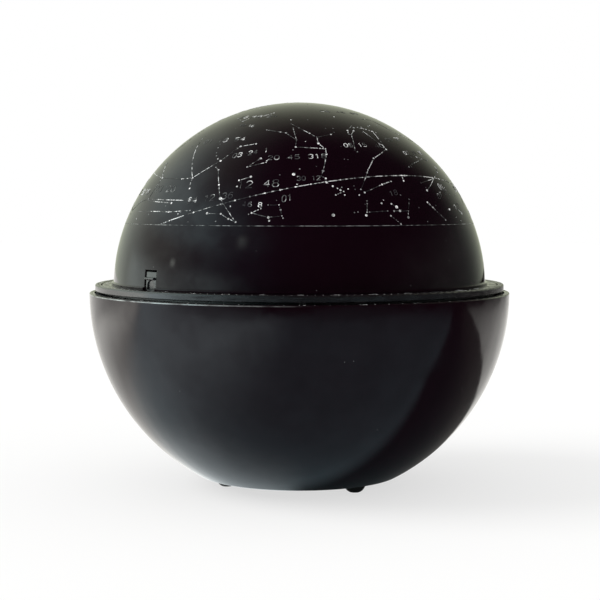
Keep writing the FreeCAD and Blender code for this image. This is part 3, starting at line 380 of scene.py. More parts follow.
def gloss_plastic(name, body, lighter, roughness, mirror, depth, hand_marks):
    """Gloss ABS; depth is the orange peel's, and hand_marks the most they take of its mirror."""
    material, tree, place = fresh_material(name)
    tone = blend(tree, noise(tree, place, TONE_CLOUD, 3.0), body, lighter)
    motes = add(tree, "ShaderNodeTexVoronoi", {"Vector": place, "Scale": 1 / DUST_SPACING})
    speck = rescale(tree, motes.outputs["Distance"], *DUST_SPECK, 1.0, 0.0)
    rubs = noise(tree, drawn_out(tree, place, RUB_RUN), RUB_MARK)
    worn = times(tree, rubs, noise(tree, place, RUB_PATCH))
    rubbed = rescale(tree, worn, 0.12, 0.42, roughness * 0.7, roughness * 1.6)
    held = noise(tree, place, HAND_PATCH, 3.0)
    greased = rescale(tree, held, 0.5, 0.65, 0.0, HAND_GREASE)
    # No moulded edge is knife sharp: rounding it in the normals gives each rim its line of light.
    edge = add(tree, "ShaderNodeBevel", {"Radius": ROUNDED_EDGE}, samples=4)
    surface(tree, {
        "Base Color": blend(tree, speck, tone, "#6a6c6c"),
        "Roughness": calc(tree, "ADD", rubbed, greased),
        "IOR": 1.54, "Specular IOR Level": mirror,
        "Specular Tint": rescale(tree, held, 0.38, 0.62, 1.0, 1.0 - hand_marks),
        "Normal": relief(tree, noise(tree, place, PEEL, 1.0), depth * MM, Normal=edge)})
    return material


print("specks of dust about", round(2 * DUST_SPACING * DUST_SPECK[1] / MM, 1), "mm across")

# %% [markdown]
# ## Three blacks
#
# The dome is the better polished of the two halves. The ring between them has satin lacquer over
# the same plastic: it mirrors more, but spreads what it mirrors, so the ring reads as a soft grey
# band. The black has a little plum in it, as dyed plastic has.

# %% The three black plastics
dome_abs = gloss_plastic("plum_black_abs_polished", "#0d0208", "#11040b", 0.07, 0.31, 0.0022, 0.45)
bowl_abs = gloss_plastic("plum_black_abs_moulded", "#0d0308", "#12050b", 0.09, 0.265, 0.004, 0.18)
ring_abs = gloss_plastic("plum_black_satin_lacquer", "#0e090c", "#151014", 0.2, 1.0, 0.003, 0.0)
print("gloss plastics made:", dome_abs.name, bowl_abs.name, ring_abs.name)

# %% [markdown]
# ## A line of foil round the rim
#
# A hair line of silver foil is hot pressed round the bowl, just under its edge. It has worn thin in
# places. It is also painted to fade out towards the right, which stands in for light: the line
# shows brightest on the left, where the light falls. Foil is metal and plastic isn't, so one mask
# decides both the colour and the metallic part.

# %% Foil line
FOIL_LOW, FOIL_HIGH = 101.25 * MM, 101.75 * MM
# Painted light: the line fades out towards the right and is whole on the left, where the light
# falls.
FOIL_FADED_RIGHT, FOIL_FULL_LEFT = 10 * MM, -60 * MM  # across the bowl, from its middle
FOIL_COVER = 0.72

tree = bowl_abs.node_tree
shader = tree.nodes["Principled BSDF"]
place = add(tree, "ShaderNodeTexCoord").outputs["Object"]
right, _, height = add(tree, "ShaderNodeSeparateXYZ", {0: place}).outputs
in_line = times(tree, calc(tree, "GREATER_THAN", height, FOIL_LOW),
                calc(tree, "LESS_THAN", height, FOIL_HIGH))
# The painted fade: full on the lit left of the bowl, none on its right.
kept = times(tree, ramp(tree, right, FOIL_FADED_RIGHT, FOIL_FULL_LEFT), FOIL_COVER)
wear = rescale(tree, noise(tree, place, 9 * MM, 3.0), 0.36, 0.6, 0.15, 1.0)
foil = times(tree, in_line, times(tree, kept, wear))
moulded = shader.inputs["Base Color"].links[0].from_socket
tree.links.new(blend(tree, foil, moulded, "#c6cac9"), shader.inputs["Base Color"])
tree.links.new(foil, shader.inputs["Metallic"])
print("foil line", round((FOIL_HIGH - FOIL_LOW) / MM, 2), "mm wide")

# %% [markdown]
# ## Matt mouldings, rubber and gears
#
# Parts inside the ball come from spark-eroded moulds, which leave a fine even grain. The gears are
# natural acetal, a waxy white that light goes a little way into. The feet are soft rubber.

# %% Matt plastic, acetal and rubber
def grained_plastic(name, body, lighter, roughness, grain, depth, glow):
    """Moulded plastic or rubber with a fine even grain; glow is how far light goes into it."""
    material, tree, place = fresh_material(name)
    pits = noise(tree, place, grain * MM, 3.0)
    surface(tree, {
        "Base Color": blend(tree, noise(tree, place, 12 * MM, 4.0), body, lighter),
        "Roughness": rescale(tree, pits, 0.3, 0.7, roughness - 0.06, roughness + 0.08),
        "IOR": 1.5, "Normal": relief(tree, pits, depth * MM), "Subsurface Weight": glow,
        "Subsurface Radius": (1.0, 0.9, 0.8), "Subsurface Scale": 0.8 * MM})
    return material


# finish: (material, two tones, roughness, millimetres of grain and of its depth, glow)
GRAINED = {
    # An even charcoal, so that the inside stays quiet.
    "inner_moulding": ("charcoal_abs_spark_eroded", "#26272a", "#303135", 0.52, 0.35, 0.02, 0.0),
    # Softer and waxier than ABS, with broad grey highlights.
    "battery_moulding": ("black_polypropylene", "#1c1c1e", "#252527", 0.46, 0.6, 0.012, 0.0),
    # Rubber has next to no highlight, and its black is warm.
    "feet_rubber": ("soft_rubber", "#1a1a1a", "#232322", 0.72, 0.4, 0.015, 0.0),
    # Milky white with a glow in thin teeth.
    "drive_acetal": ("natural_acetal", "#e4e1d6", "#efece2", 0.34, 1.2, 0.004, 0.25),
    # Yellower and cloudier than acetal.
    "gearbox_moulding": ("natural_nylon", "#cfcabb", "#dbd7ca", 0.42, 0.8, 0.008, 0.1),
    # A dry red-brown board.
    "lamp_fibre": ("vulcanised_fibre", "#5a2a1c", "#6e3826", 0.6, 0.3, 0.02, 0.0),
    # The switch's knob, polished by thumbs.
    "knob": ("grey_acetal", "#5d6064", "#686b6f", 0.38, 0.8, 0.006, 0.0),
    # Painted shade: the dark of a hole too narrow for light to come back out of.
    "pinhole": ("pinhole_painted_shade", "#050405", "#080607", 0.8, 0.3, 0.002, 0.0),
}
FINISH = {finish: grained_plastic(*recipe) for finish, recipe in GRAINED.items()}
print("grained plastics made:", len(GRAINED))

# %% [markdown]
# ## Metals and glass
#
# Zinc plating gives the small screws a pale skin with a hint of blue and yellow that drifts from
# one to the next. The lamp is thin clear glass in a shell of rolled brass, dulled by handling.

# %% Metals and glass
def worked_metal(name, tint, second, roughness, mark, run):
    """A metal whose tint drifts, with tool marks of the given size drawn out along run."""
    material, tree, place = fresh_material(name)
    marks = noise(tree, drawn_out(tree, place, run), mark * MM)
    surface(tree, {
        "Base Color": blend(tree, noise(tree, place, 6 * MM), tint, second), "Metallic": 1.0,
        "Roughness": rescale(tree, marks, 0.25, 0.75, roughness * 0.7, roughness * 1.4),
        "Normal": relief(tree, marks, 0.006 * MM)})
    return material


# finish: (material, two tints, roughness, size of a tool mark in millimetres, how it is drawn out)
METALS = {
    "bright_steel": ("zinc_plated_steel", "#c3c8cf", "#cfc9b8", 0.28, 0.5, (1.0, 1.0, 1.0)),
    "can": ("rolled_steel_can", "#b9bcc0", "#c6c8ca", 0.24, 0.4, (1.0, 1.0, 0.05)),
    "lamp_brass": ("rolled_brass", "#c9a45c", "#b98f4a", 0.3, 0.4, (0.2, 0.2, 1.0)),
    "tungsten": ("drawn_tungsten", "#8a8884", "#76736f", 0.4, 0.2, (1.0, 1.0, 1.0)),
}
FINISH.update({finish: worked_metal(*recipe) for finish, recipe in METALS.items()})

FINISH["lamp_glass"], tree, place = fresh_material("blown_lamp_glass")
surface(tree, {
    "Base Color": paint("#f4f8f8"), "Roughness": 0.02, "IOR": 1.5, "Transmission Weight": 1.0,
    "Normal": relief(tree, noise(tree, place, 3 * MM, 1.0), 0.03 * MM)})
print("metals made:", len(METALS), "and lamp glass")

# %% [markdown]
# ## The cells
#
# Each dry cell is a steel can in a printed film. The film stops short of both ends, and the end
# with the copper coloured band is the positive one. The cells lie side by side, each turned end for
# end from the next, so the pattern reads how far a point is along the bay.

# %% Cell film
BAY_BEARING = 106.0  # compass angle along which the cells lie
CELL_HALF = 25.25 * MM
BARE_END = 1.7 * MM
COLOURED_BAND = 14 * MM


def cell_film(name, way):
    """Steel ends, a coloured band towards the positive end, and a plain dark film between."""
    material, tree, place = fresh_material(name)
    along = drawn_out(tree, place, (way, 1.0, 1.0), math.radians(90 - BAY_BEARING))
    run = add(tree, "ShaderNodeSeparateXYZ", {0: along}).outputs[0]
    steel = calc(tree, "GREATER_THAN", calc(tree, "ABSOLUTE", run), CELL_HALF - BARE_END)
    coloured = calc(tree, "GREATER_THAN", run, CELL_HALF - COLOURED_BAND)
    crinkle = noise(tree, place, 1.5 * MM)
    surface(tree, {
        "Base Color": blend(tree, steel, blend(tree, coloured, "#23262b", "#b0793c"), "#c4c6c8"),
        "Metallic": steel, "Roughness": rescale(tree, crinkle, 0.0, 1.0, 0.18, 0.36),
        "Normal": relief(tree, crinkle, 0.01 * MM)})
    return material


FINISH["cell_jacket"] = cell_film("cell_film_plus_left", -1.0)
FINISH["turned_cell"] = cell_film("cell_film_plus_right", 1.0)
print("cell films made: 2")

# %% [markdown]
# ## Dress the moulded parts
#
# The model's record says which finish each part has, and the finishes above go by the same names.
# The few parts that differ from their neighbours are named here.

# %% Give every part its finish
FINISH.update(base_shell=bowl_abs, dome_shell=dome_abs, trim_ring=ring_abs)
SPECIAL = {"battery_cell_2": "turned_cell", "motor_can": "can", "turntable": "trim_ring",
           "switch_plate": "inner_moulding", "switch_slider": "knob"}

for part in frame["record"]["subparts"]:
    node = frame["nodes"][part["node"]]
    node.data.materials.clear()
    node.data.materials.append(FINISH[SPECIAL.get(part["node"], part["material_slot"])])
print("parts dressed:", len(frame["nodes"]))

# %% [markdown]
# ## Silver ink
#
# The chart and the scales are pad printed in silver ink: aluminium flake in a clear lacquer. More
# flake makes a line glint where it mirrors the bright wall and go dim where it mirrors the dark
# room. No fine line is printed evenly: fine noise breaks the ink up within it, and broad noise
# makes whole stretches fainter.

# %% Ink
INK_STRETCH = 12 * MM
INK_GOING, INK_THERE = 0.88, 1.04  # sum of the two noises where ink is worn off, and is whole
INK_THIN, INK_SOLID = 1.03, 1.13  # and where it is thin, and solid


def silver_ink(name, solid, thin, worn, patch, flake):
    """Ink broken up in patches of so many millimetres; flake is the share of aluminium in it."""
    material, tree, place = fresh_material(name)
    both = calc(tree, "ADD", noise(tree, place, INK_STRETCH), noise(tree, place, patch * MM))
    ink = blend(tree, rescale(tree, both, INK_THIN, INK_SOLID), thin, solid)
    surface(tree, {
        "Base Color": blend(tree, rescale(tree, both, INK_GOING, INK_THERE), worn, ink),
        "Metallic": flake, "Roughness": 0.38})
    return material


chart_ink = silver_ink("silver_pad_ink_worn", "#ffffff", "#6c6e6d", "#2a282b", 1.6, 0.4)
hair_ink = silver_ink("silver_pad_ink_hairline", "#a6a8a7", "#5e605f", "#2a282b", 2.5, 0.5)
letter_ink = silver_ink("silver_pad_ink_letters", "#ffffff", "#7c7e7d", "#38363a", 6, 0.3)
star_ink = silver_ink("silver_pad_ink_dots", "#ffffff", "#d0d2d1", "#808282", 3.0, 0.0)
scale_ink = silver_ink("silver_pad_ink_scale", "#f0f2f1", "#9a9c9b", "#4a4a4c", 2.5, 0.15)
print("inks made: 5")

# %% [markdown]
# ## Where a star goes on the dome
#
# The sky is given in hours round the equator and degrees above it. On the dome the equator is a
# level line some way above the seat, hours run anticlockwise seen from above, and the pole is the
# crown. Degrees are spread so that the whole northern sky fits between that line and the crown.

# %% Chart coordinates
DOME_RADIUS = 97.6 * MM
DOME_CENTRE = Vector((0.0, 0.0, 103.2 * MM))
EQUATOR_Z = 138.0 * MM
EQUATOR_LATITUDE = math.degrees(math.asin((EQUATOR_Z - DOME_CENTRE.z) / DOME_RADIUS))
ZERO_HOUR_BEARING = -48.8
DEGREES_PER_HOUR = 15
SPREAD = 0.66  # dome's degrees for each of the sky's, at the equator
SPREAD_GAIN = (90 - EQUATOR_LATITUDE - 90 * SPREAD) / 90 ** 2
INK = 0.05 * MM  # thickness of the printed film


def outward(bearing, latitude):
    """Unit vector from the dome's centre; bearing 0 is the front and 90 the right."""
    b, l = math.radians(bearing), math.radians(latitude)
    return Vector((math.cos(l) * math.sin(b), -math.cos(l) * math.cos(b), math.sin(l)))


def on_dome(hours, degrees):
    """Where a point of the sky stands, in the middle of the ink on the dome."""
    bearing = ZERO_HOUR_BEARING + DEGREES_PER_HOUR * hours
    latitude = EQUATOR_LATITUDE + SPREAD * degrees + SPREAD_GAIN * degrees ** 2
    return DOME_CENTRE + (DOME_RADIUS + INK / 2) * outward(bearing, latitude)


print("equator stands at latitude", round(EQUATOR_LATITUDE, 1), "on the dome")

# %% [markdown]
# ## The constellations
#
# The traditional figures of the northern sky. Each star is its hour, its degrees above the equator
# and its brightness class, 1 for the brightest; most are of class 4, and don't say so. After the
# stroke come the runs of stars that lines join, by their place in the list.

# %% Star table
FIGURES = """
little bear: 2.5,87.4,2 17.5,86.6 16.8,82 15.7,77.8 16.3,75.8 15.3,71.8,3 14.8,74.2,2 /
0-1-2-3-4-5-6-3;
great bear: 11.1,61.8,2 11,56.4,2 11.9,53.7,2 12.3,57,3 12.9,56,2 13.4,54.9,2 13.8,49.3,2 9.5,63.1
8.5,60.7,3 9,48,3 9.5,51.7,3 10.4,41.5,3 11.2,44.5,3 / 0-1-2-3-0 3-4-5-6 0-7-8 1-10-9 2-12-11;
queen: 0.15,59.1,2 0.7,56.5,2 0.95,60.7,2 1.4,60.2,3 1.9,63.7,3 / 0-1-2-3-4;
king: 21.3,62.6,3 21.5,70.6,3 23.7,77.6,3 22.8,66.2 22.2,58.2,3 / 0-1-2-3-4-0 1-3;
dragon: 14.1,64.4 12.6,69.8 15.4,59,3 16,58.6 16.4,61.5,3 17.1,65.7,3 18.4,72.7 19.2,67.7,3
17.9,56.9 17.5,55.2 17.5,52.3,3 17.9,51.5,2 / 1-0-2-3-4-5-6-7-8-9-10-11-8;
hero: 2.95,53.6 3.24,50.6 3.59,46.8,3 3.8,44.2 3.81,40.4,2 3.98,37.2 3.98,34.2,3 3.92,31.2
3.82,25.5,2 3.76,23 3.86,21.8,3 3.87,19.8,3 4.29,46.2,3 4.43,47.6 4.19,50.3 4.47,50.4 3.15,38.3,3
3.83,37.5 3.03,50.6 3.17,42.5 3.15,40.4 3.08,36.6 2.11,49.3 2.81,47.1,3 / 0-1-2-3-4-5-6-8-9-10
3-12-13 16-17-5 18-19 22-23-19-20-16;
charioteer: 4.98,49.1,3 4.93,46.7 5.01,46.1 5.21,48.9,3 5.34,51.1,3 5.31,52.6 5.52,51.5 5.83,50.2
6.03,48.9,3 5.93,37.5,2 5.29,32.2,3 4.97,26.1 4.64,16.6,3 4.84,36.8 4.89,35.7 / 0-1-2-3-4-5-0
6-7-8-9 6-9 2-13 9-10-11-12;
bull: 4.04,14 4.23,15.6 4.71,15.2,3 5.21,19,3 5.49,20.5 4.49,18.2 4.24,14 4.34,16.8 4.5,16.6 4.57,14
/ 0-1 2-3-4;
seven sisters: 4,18.1,3 4.1,17 4.16,16.2,3 4.2,17.6 /;
twins: 6.59,35.7 7.29,32.6,3 6.57,29.6 6.35,28,3 7.65,25.7,2 7.13,22.2 6.53,16.2,2 6.45,19.9
5.9,23.5,3 5.88,20.8,3 7.6,31.9,2 7.8,28,1 / 0-1-2-3 4-5-6 5-7 8-9 10-1 11-4;
unicorn: 6.35,10.5,3 6.47,8.1 6.57,6 6.66,4.5 6.77,2.2,3 7.11,7.1,2 / 0-2-4;
hunter: 4.47,6.2 4.67,6.1 5.15,6.6 5.31,6.6,3 5.46,6.6,2 5.68,6.6 5.2,4.4,3 5.31,2.5 5.4,0.7,3
5.63,3.6,2 5.4,8.4,1 5.29,9.8,3 5.05,10.1,3 5.81,11.9 4.72,11.2 / 1-2 3-5 6-7-8 5-9 5-13 1-14 10-11;
small dog: 7.7,5.2,1 7.5,8.3,3 / 0-1;
lynx: 9.3,34.4,3 9.3,36.8 8.4,43.2 7.4,49.2 7,58.4 6.3,59 / 0-1-2-3-4-5;
crab: 9,11.9 8.7,18.2 8.7,21.5 8.8,28.8 8.3,9.2 / 0-1-2-3 1-4;
water snake: 8.8,6.4 8.9,6,3 8.6,5.7 8.7,3.4 9.2,2.3 / 2-0-1-3-2 1-4;
lion: 10.1,12,1 10.1,16.8 10.3,19.8,2 10.3,23.4,3 9.9,26 9.8,23.8,3 11.2,20.5,3 11.2,15.4,3
11.8,14.6,2 / 0-1-2-3-4-5 2-6-8-7-0;
virgin: 13,11,3 12.9,3.4,3 12.7,0.8,3 12.3,0.8 11.8,1.8 / 0-1-2-3-4;
hair: 13.2,27.9 13.2,17.5 12.4,28.3 / 0-1 0-2;
hounds: 12.9,38.3,3 12.6,41.4 / 0-1;
herdsman: 14.3,19.2,1 14.7,27.1,2 15.3,33.3,3 15,40.4,3 14.5,38.3,3 14.5,30.4 13.9,18.4,3 14.7,13.7
/ 0-1-2-3-4-5-0-6 0-7;
crown: 15.5,31.4 15.5,29.1 15.6,26.7,2 15.7,26.3 15.8,26.1 16,26.9 16,29.9 / 0-1-2-3-4-5-6;
strong man: 17.2,36.8,3 16.7,38.9,3 16.7,31.6,3 17,30.9 16.5,21.5,3 17.3,24.8,3 17.2,14.4,3
17.8,27.7,3 17.7,46 16.3,46.3 16.4,19.2 / 0-1-2-3-0 2-4 3-5-6 5-7 0-8 1-9 4-10;
serpent bearer: 17.6,12.6,2 17.7,4.6,3 17,9.4,3 17.8,2.7 / 0-1 0-2 1-3;
serpent: 15.7,6.4,3 15.8,4.5 15.6,10.5 15.8,15.4 15.9,15.7 15.8,18.1 / 1-0-2-3-5-4-3;
lyre: 18.6,38.8,1 18.7,37.6 18.9,36.9 19,32.7,3 18.8,33.4,3 / 0-1-2-3-4-1;
swan: 20.7,45.3,1 20.4,40.3,2 20.8,34,2 19.8,45.1,3 19.9,35.1 19.5,28,3 21.2,30.2,3 19.3,53.4 /
0-1-4-5 1-2-6 1-3-7;
eagle: 19.8,8.9,1 19.8,10.6,3 19.9,6.4 19.1,13.9,3 19.4,3.1,3 19.9,1 / 1-0-2 1-3 0-4-3 4-5;
arrow: 20,19.5 19.8,18.5 19.7,18 19.7,17.5 / 0-1-2 1-3;
dolphin: 20.7,15.9 20.6,14.6 20.8,16.1 20.7,15 20.6,11.3 / 0-2-3-1-0 1-4;
foal: 21.3,5.3 21.2,10 21.2,10.9 / 0-1-2;
lizard: 22.5,50.3 22.4,52.2 22.5,47.7 22.4,46.5 22.5,43.1 22.3,37.8 / 1-0-2-3-4-5;
winged horse: 23.1,12,2 23.2,22.5,2 0.49,22.3,2 0.7,11.4,1 22.7,10.8,3 22.2,6.2 21.7,9.9,2
22.7,30.2,3 22.1,25.4 0.13,21.8,3 23.53,44.4,3 0.51,19.8 0.56,17.1,3 / 2-9-1 2-11-12 3-0-1 0-4-5-6
1-7 1-8 2-10;
chained lady: 0.49,22.3,2 1.11,30.9,2 1.5,38.9,2 1.96,40.3,3 0.74,38.3 0.81,35.4 0.88,33.7 0.99,32 /
0-1-2-3;
fishes: 1.96,1.7,3 1.79,3.1,3 1.6,5.3,3 1.27,5.5,2 0.81,6.8 0.2,6,3 23.8,6.2 0.5,5.1 1.5,12.4,1
1.36,18.8,3 1.18,26.2,3 1.07,27.5 0.17,10.2,3 23.2,11.1 22.9,6 / 0-1-2-3 4-5-6-14 0-8-9-10-11 12-13;
ram: 2.11,22.6,2 1.84,20.9,3 1.83,18,3 / 0-1;
triangle: 1.95,27.6,3 2.24,32,2 2.42,30.7 2.41,29.9 / 0-1 0-3;
whale: 2.27,5.8,3 2.46,7.8 2.6,9.4 2.83,9.4 2.87,7.2,3 2.9,4.5 2.63,3.8,2 2.65,2.3,3 / 0-1
2-3-4-5-6-0 6-7;
field: 3.94,4.8,1 4.64,4.7,2 3.12,23.8,1 3.2,19 7.5,14 1.4,52 2.9,57 3.6,57 4.9,60 8.2,27 9.8,52
12.2,33 14,44 18.3,21 20.1,26 21.9,19 23.4,40 16.2,8 11.4,8 10.4,31 13.6,2.5 18.9,5 22.9,2.5 /
"""


def read_points(text):
    """Tuples of numbers from words such as 2.5,87.4,2."""
    return [tuple(float(number) for number in word.split(",")) for word in text.split()]


def read_joins(text):
    """Pairs of places from runs such as 0-1-2."""
    runs = [[int(place) for place in run.split("-")] for run in text.split()]
    return [pair for run in runs for pair in zip(run, run[1:])]


figures = []
for entry in FIGURES.split(";"):
    stars, joins = entry.split(":")[1].split("/")
    figures.append(([(*star, 4)[:3] for star in read_points(stars)], read_joins(joins)))
print("figures:", len(figures), "stars:", sum(len(stars) for stars, joins in figures))

# %% [markdown]
# ## Growing print with Geometry Nodes
#
# All the printing is repeats: a ribbon along a line, a dot on a star, a tick at every few degrees.
# Geometry Nodes make them, each tree from a start mesh and a few named sizes. The result is kept as
# a plain mesh, which rides with the part that it is printed on.

# %% Run a tree and keep its result
def new_geometry_tree(name, **inputs):
    """A node tree, and the outputs that give what goes into it; inputs are NAME=kind of value."""
    tree = bpy.data.node_groups.new(name, "GeometryNodeTree")
    tree.interface.new_socket("Geometry", in_out="INPUT", socket_type="NodeSocketGeometry")
    for key, kind in inputs.items():
        tree.interface.new_socket(key, in_out="INPUT", socket_type="NodeSocket" + kind)
    tree.interface.new_socket("Geometry", in_out="OUTPUT", socket_type="NodeSocketGeometry")
    return tree, tree.nodes.new("NodeGroupInput").outputs


def close_tree(tree, geometry, ink):
    """Every tree ends the same way: real mesh, with its material."""
    real = add(tree, "GeometryNodeRealizeInstances", {"Geometry": geometry})
    inked = add(tree, "GeometryNodeSetMaterial", {"Geometry": real, "Material": ink})
    add(tree, "NodeGroupOutput", {0: inked})


def grow(name, tree, start, body, slot, **values):
    """Runs the tree on the start mesh and leaves a plain mesh, a film of ink thick unless told
    otherwise, that rides with the body."""
    values = {"Film": INK, **values}
    piece = bpy.data.objects.new(name, start)
    scene.collection.objects.link(piece)
    modifier = piece.modifiers.new("grow", "NODES")
    modifier.node_group = tree
    for item in tree.interface.items_tree:
        if item.in_out == "INPUT" and item.name in values:
            modifier[item.identifier] = values[item.name]
    bpy.context.view_layer.update()
    graph = bpy.context.evaluated_depsgraph_get()
    mesh = bpy.data.meshes.new_from_object(piece.evaluated_get(graph), depsgraph=graph)
    piece.modifiers.clear()
    piece.data = mesh
    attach(piece, body)
    print(name, "has", len(mesh.polygons), "faces")


def away_from_centre(tree, centre):
    """The direction from a centre to the point that the tree is at."""
    here = add(tree, "GeometryNodeInputPosition")
    return add(tree, "ShaderNodeVectorMath", {0: here, 1: centre}, operation="SUBTRACT")


print("ready to grow print on", len(frame["nodes"]), "parts")

# %% [markdown]
# ## Lines of the chart
#
# A printed line is a flat ribbon that hugs the dome. The tree turns edges into curves, points their
# normals away from the dome's centre, and sweeps a thin rectangle along them.

# %% Ribbon tree
ribbon, given = new_geometry_tree(
    "printed_ribbon", Width="Float", Film="Float", Centre="Vector", Ink="Material")
curves = add(ribbon, "GeometryNodeMeshToCurve", {"Mesh": given["Geometry"]})
away = away_from_centre(ribbon, given["Centre"])
upright = add(ribbon, "ShaderNodeVectorMath", {0: away}, operation="NORMALIZE")
stood = add(ribbon, "GeometryNodeSetCurveNormal", {"Curve": curves, "Normal": upright}, mode="FREE")
section = add(ribbon, "GeometryNodeCurvePrimitiveQuadrilateral", {
    "Width": given["Film"], "Height": given["Width"]})
swept = add(ribbon, "GeometryNodeCurveToMesh", {
    "Curve": stood, "Profile Curve": section, "Fill Caps": True})
close_tree(ribbon, swept, given["Ink"])


def chain_mesh(name, chains):
    """A mesh of bare edges, one run for each chain of points."""
    points, edges = [], []
    for chain in chains:
        edges += [(len(points) + i, len(points) + i + 1) for i in range(len(chain) - 1)]
        points += chain
    mesh = bpy.data.meshes.new(name)
    mesh.from_pydata(points, edges, [])
    return mesh


def print_lines(name, chains, width, ink, body="dome", slot="dome_shell", centre=DOME_CENTRE):
    """Prints chains of points as ribbons that face away from a centre; width in millimetres."""
    grow(name, ribbon, chain_mesh(name, chains), body, slot, Width=width * MM, Centre=centre,
         Ink=ink)


print("ribbon tree has", len(ribbon.nodes), "nodes")

# %% [markdown]
# ## Joining the stars
#
# Lines stop a little short of the stars that they join, as on printed charts, so that each star
# stays a dot of its own. A line is cut in short steps, to follow the dome.

# %% Figures
STAR_GAP = 1.0  # millimetres from a line's end to the middle of a star
MOST_GAP = 0.3  # and the most it takes of a short line's length
LINE_STEP = 2.5  # millimetres


def joined(first, second):
    """Points along the line between two stars, stopping short of both."""
    (h1, d1), (h2, d2) = first[:2], second[:2]
    if abs(h2 - h1) > 12:
        h2 += 24 if h2 < h1 else -24  # the short way round, past the hour 0
    length = (on_dome(h1, d1) - on_dome(h2, d2)).length / MM
    trim = min(STAR_GAP / max(length, 0.1), MOST_GAP)
    steps = max(2, round(length / LINE_STEP))
    shares = [trim + (1 - 2 * trim) * i / steps for i in range(steps + 1)]
    return [on_dome(h1 + (h2 - h1) * s, d1 + (d2 - d1) * s) for s in shares]


chains = [joined(stars[a], stars[b]) for stars, joins in figures for a, b in joins]
print_lines("chart_figures", chains, 0.32, chart_ink)

# %% [markdown]
# ## The equator and the sun's path
#
# The equator goes all the way round, in the finest line that a pad can print. The northern half of
# the ecliptic, the path that the sun seems to take in a year, is the boldest line of this dome.

# %% Great lines
TILT = math.radians(23.44)  # of the ecliptic
ECLIPTIC_START, ECLIPTIC_RUN = 0.8, 178.4  # degrees; it ends just off the equator
EQUATOR_STEPS, ECLIPTIC_STEPS = 180, 90


def on_ecliptic(longitude):
    """Hours and degrees of a point of the ecliptic; longitude in degrees."""
    l = math.radians(longitude)
    bearing = math.degrees(math.atan2(math.cos(TILT) * math.sin(l), math.cos(l)))
    return bearing / DEGREES_PER_HOUR % 24, math.degrees(math.asin(math.sin(TILT) * math.sin(l)))


equator = [on_dome(24 * i / EQUATOR_STEPS, 0) for i in range(EQUATOR_STEPS + 1)]
ecliptic = [on_dome(*on_ecliptic(ECLIPTIC_START + ECLIPTIC_RUN * i / ECLIPTIC_STEPS))
            for i in range(ECLIPTIC_STEPS + 1)]
print_lines("chart_equator", [equator], 0.26, hair_ink)
print_lines("chart_ecliptic", [ecliptic], 0.38, chart_ink)

# %% [markdown]
# ## Stars
#
# A star is a round dot whose size follows its brightness. The start mesh has one point for each
# star, with its size as an attribute, and the tree puts a flat drum on each, facing outwards.

# %% Star tree
DRUM_SIDES = 12

dots, given = new_geometry_tree("printed_dot", Film="Float", Centre="Vector", Ink="Material")
away = away_from_centre(dots, given["Centre"])
facing = add(dots, "FunctionNodeAlignRotationToVector", {"Vector": away}, axis="Z")
drum = add(dots, "GeometryNodeMeshCylinder", {
    "Vertices": DRUM_SIDES, "Radius": 1.0, "Depth": given["Film"]})
size = add(dots, "GeometryNodeInputNamedAttribute", {"Name": "size"}, data_type="FLOAT")
scaled = add(dots, "ShaderNodeCombineXYZ", {0: size, 1: size, 2: 1.0})
placed = add(dots, "GeometryNodeInstanceOnPoints", {
    "Points": given["Geometry"], "Instance": drum, "Rotation": facing, "Scale": scaled})
close_tree(dots, placed, given["Ink"])
print("star tree has", len(dots.nodes), "nodes")

# %% [markdown]
# ## Bright stars, faint stars and pinholes
#
# The faint stars between the figures are strewn by chance, from a fixed start so that each run
# gives the same sky. A dot marks every few days of the sun's path. In the middle of each brighter
# star is the pinhole that throws it on the ceiling, drawn as a disc of painted shade: the dark of
# the hole, laid on the dome, not cut through it.

# %% Print the stars
DOT_RADIUS = {1: 0.8, 2: 0.6, 3: 0.46, 4: 0.34, 5: 0.24}  # millimetres, by brightness class
PINHOLE_RADIUS = {1: 0.2, 2: 0.16, 3: 0.12}
PINHOLE_SHADE_FILM = 1.6 * INK  # so that it shows through the dot round it
STREWN_STARS, STREWN_START = 150, 11
DAY_STEP, MONTH_HALF = 5, 15  # degrees between dots, and between larger dots


def dot_mesh(name, stars, radii):
    """One point for each (hours, degrees, class), with its radius."""
    mesh = bpy.data.meshes.new(name)
    mesh.from_pydata([on_dome(h, d) for h, d, m in stars], [], [])
    sizes = [radii[int(m)] * MM for h, d, m in stars]
    mesh.attributes.new("size", "FLOAT", "POINT").data.foreach_set("value", sizes)
    return mesh


strewn = random.Random(STREWN_START)
faint = [(strewn.uniform(0, 24), 88 * strewn.random() ** 1.6 + 1.5, strewn.choice((4, 5, 5)))
         for i in range(STREWN_STARS)]
days = [(*on_ecliptic(longitude), 4 if longitude % MONTH_HALF else 3)
        for longitude in range(DAY_STEP, 180, DAY_STEP)]
sky_stars = [star for stars, joins in figures for star in stars]
bright = [star for star in sky_stars if star[2] <= 3]
dim = [star for star in sky_stars if star[2] > 3] + faint
for name, stars, radii, ink, film in (
        ("chart_stars_bright", bright + days, DOT_RADIUS, star_ink, INK),
        ("chart_stars_faint", dim, DOT_RADIUS, scale_ink, INK),
        # Each pinhole is a disc of painted shade, the dark of the hole.
        ("star_pinholes_painted_shade", bright, PINHOLE_RADIUS, FINISH["pinhole"], PINHOLE_SHADE_FILM)):
    grow(name, dots, dot_mesh(name, stars, radii), "dome", "dome_shell", Centre=DOME_CENTRE,
         Ink=ink, Film=film)

# %% [markdown]
# ## Numbers
#
# Numbers are drawn as an engraver's pantograph draws them, in single strokes of one width. Each
# figure is a short run of points on a grid, and the ribbon tree prints it like any other line.

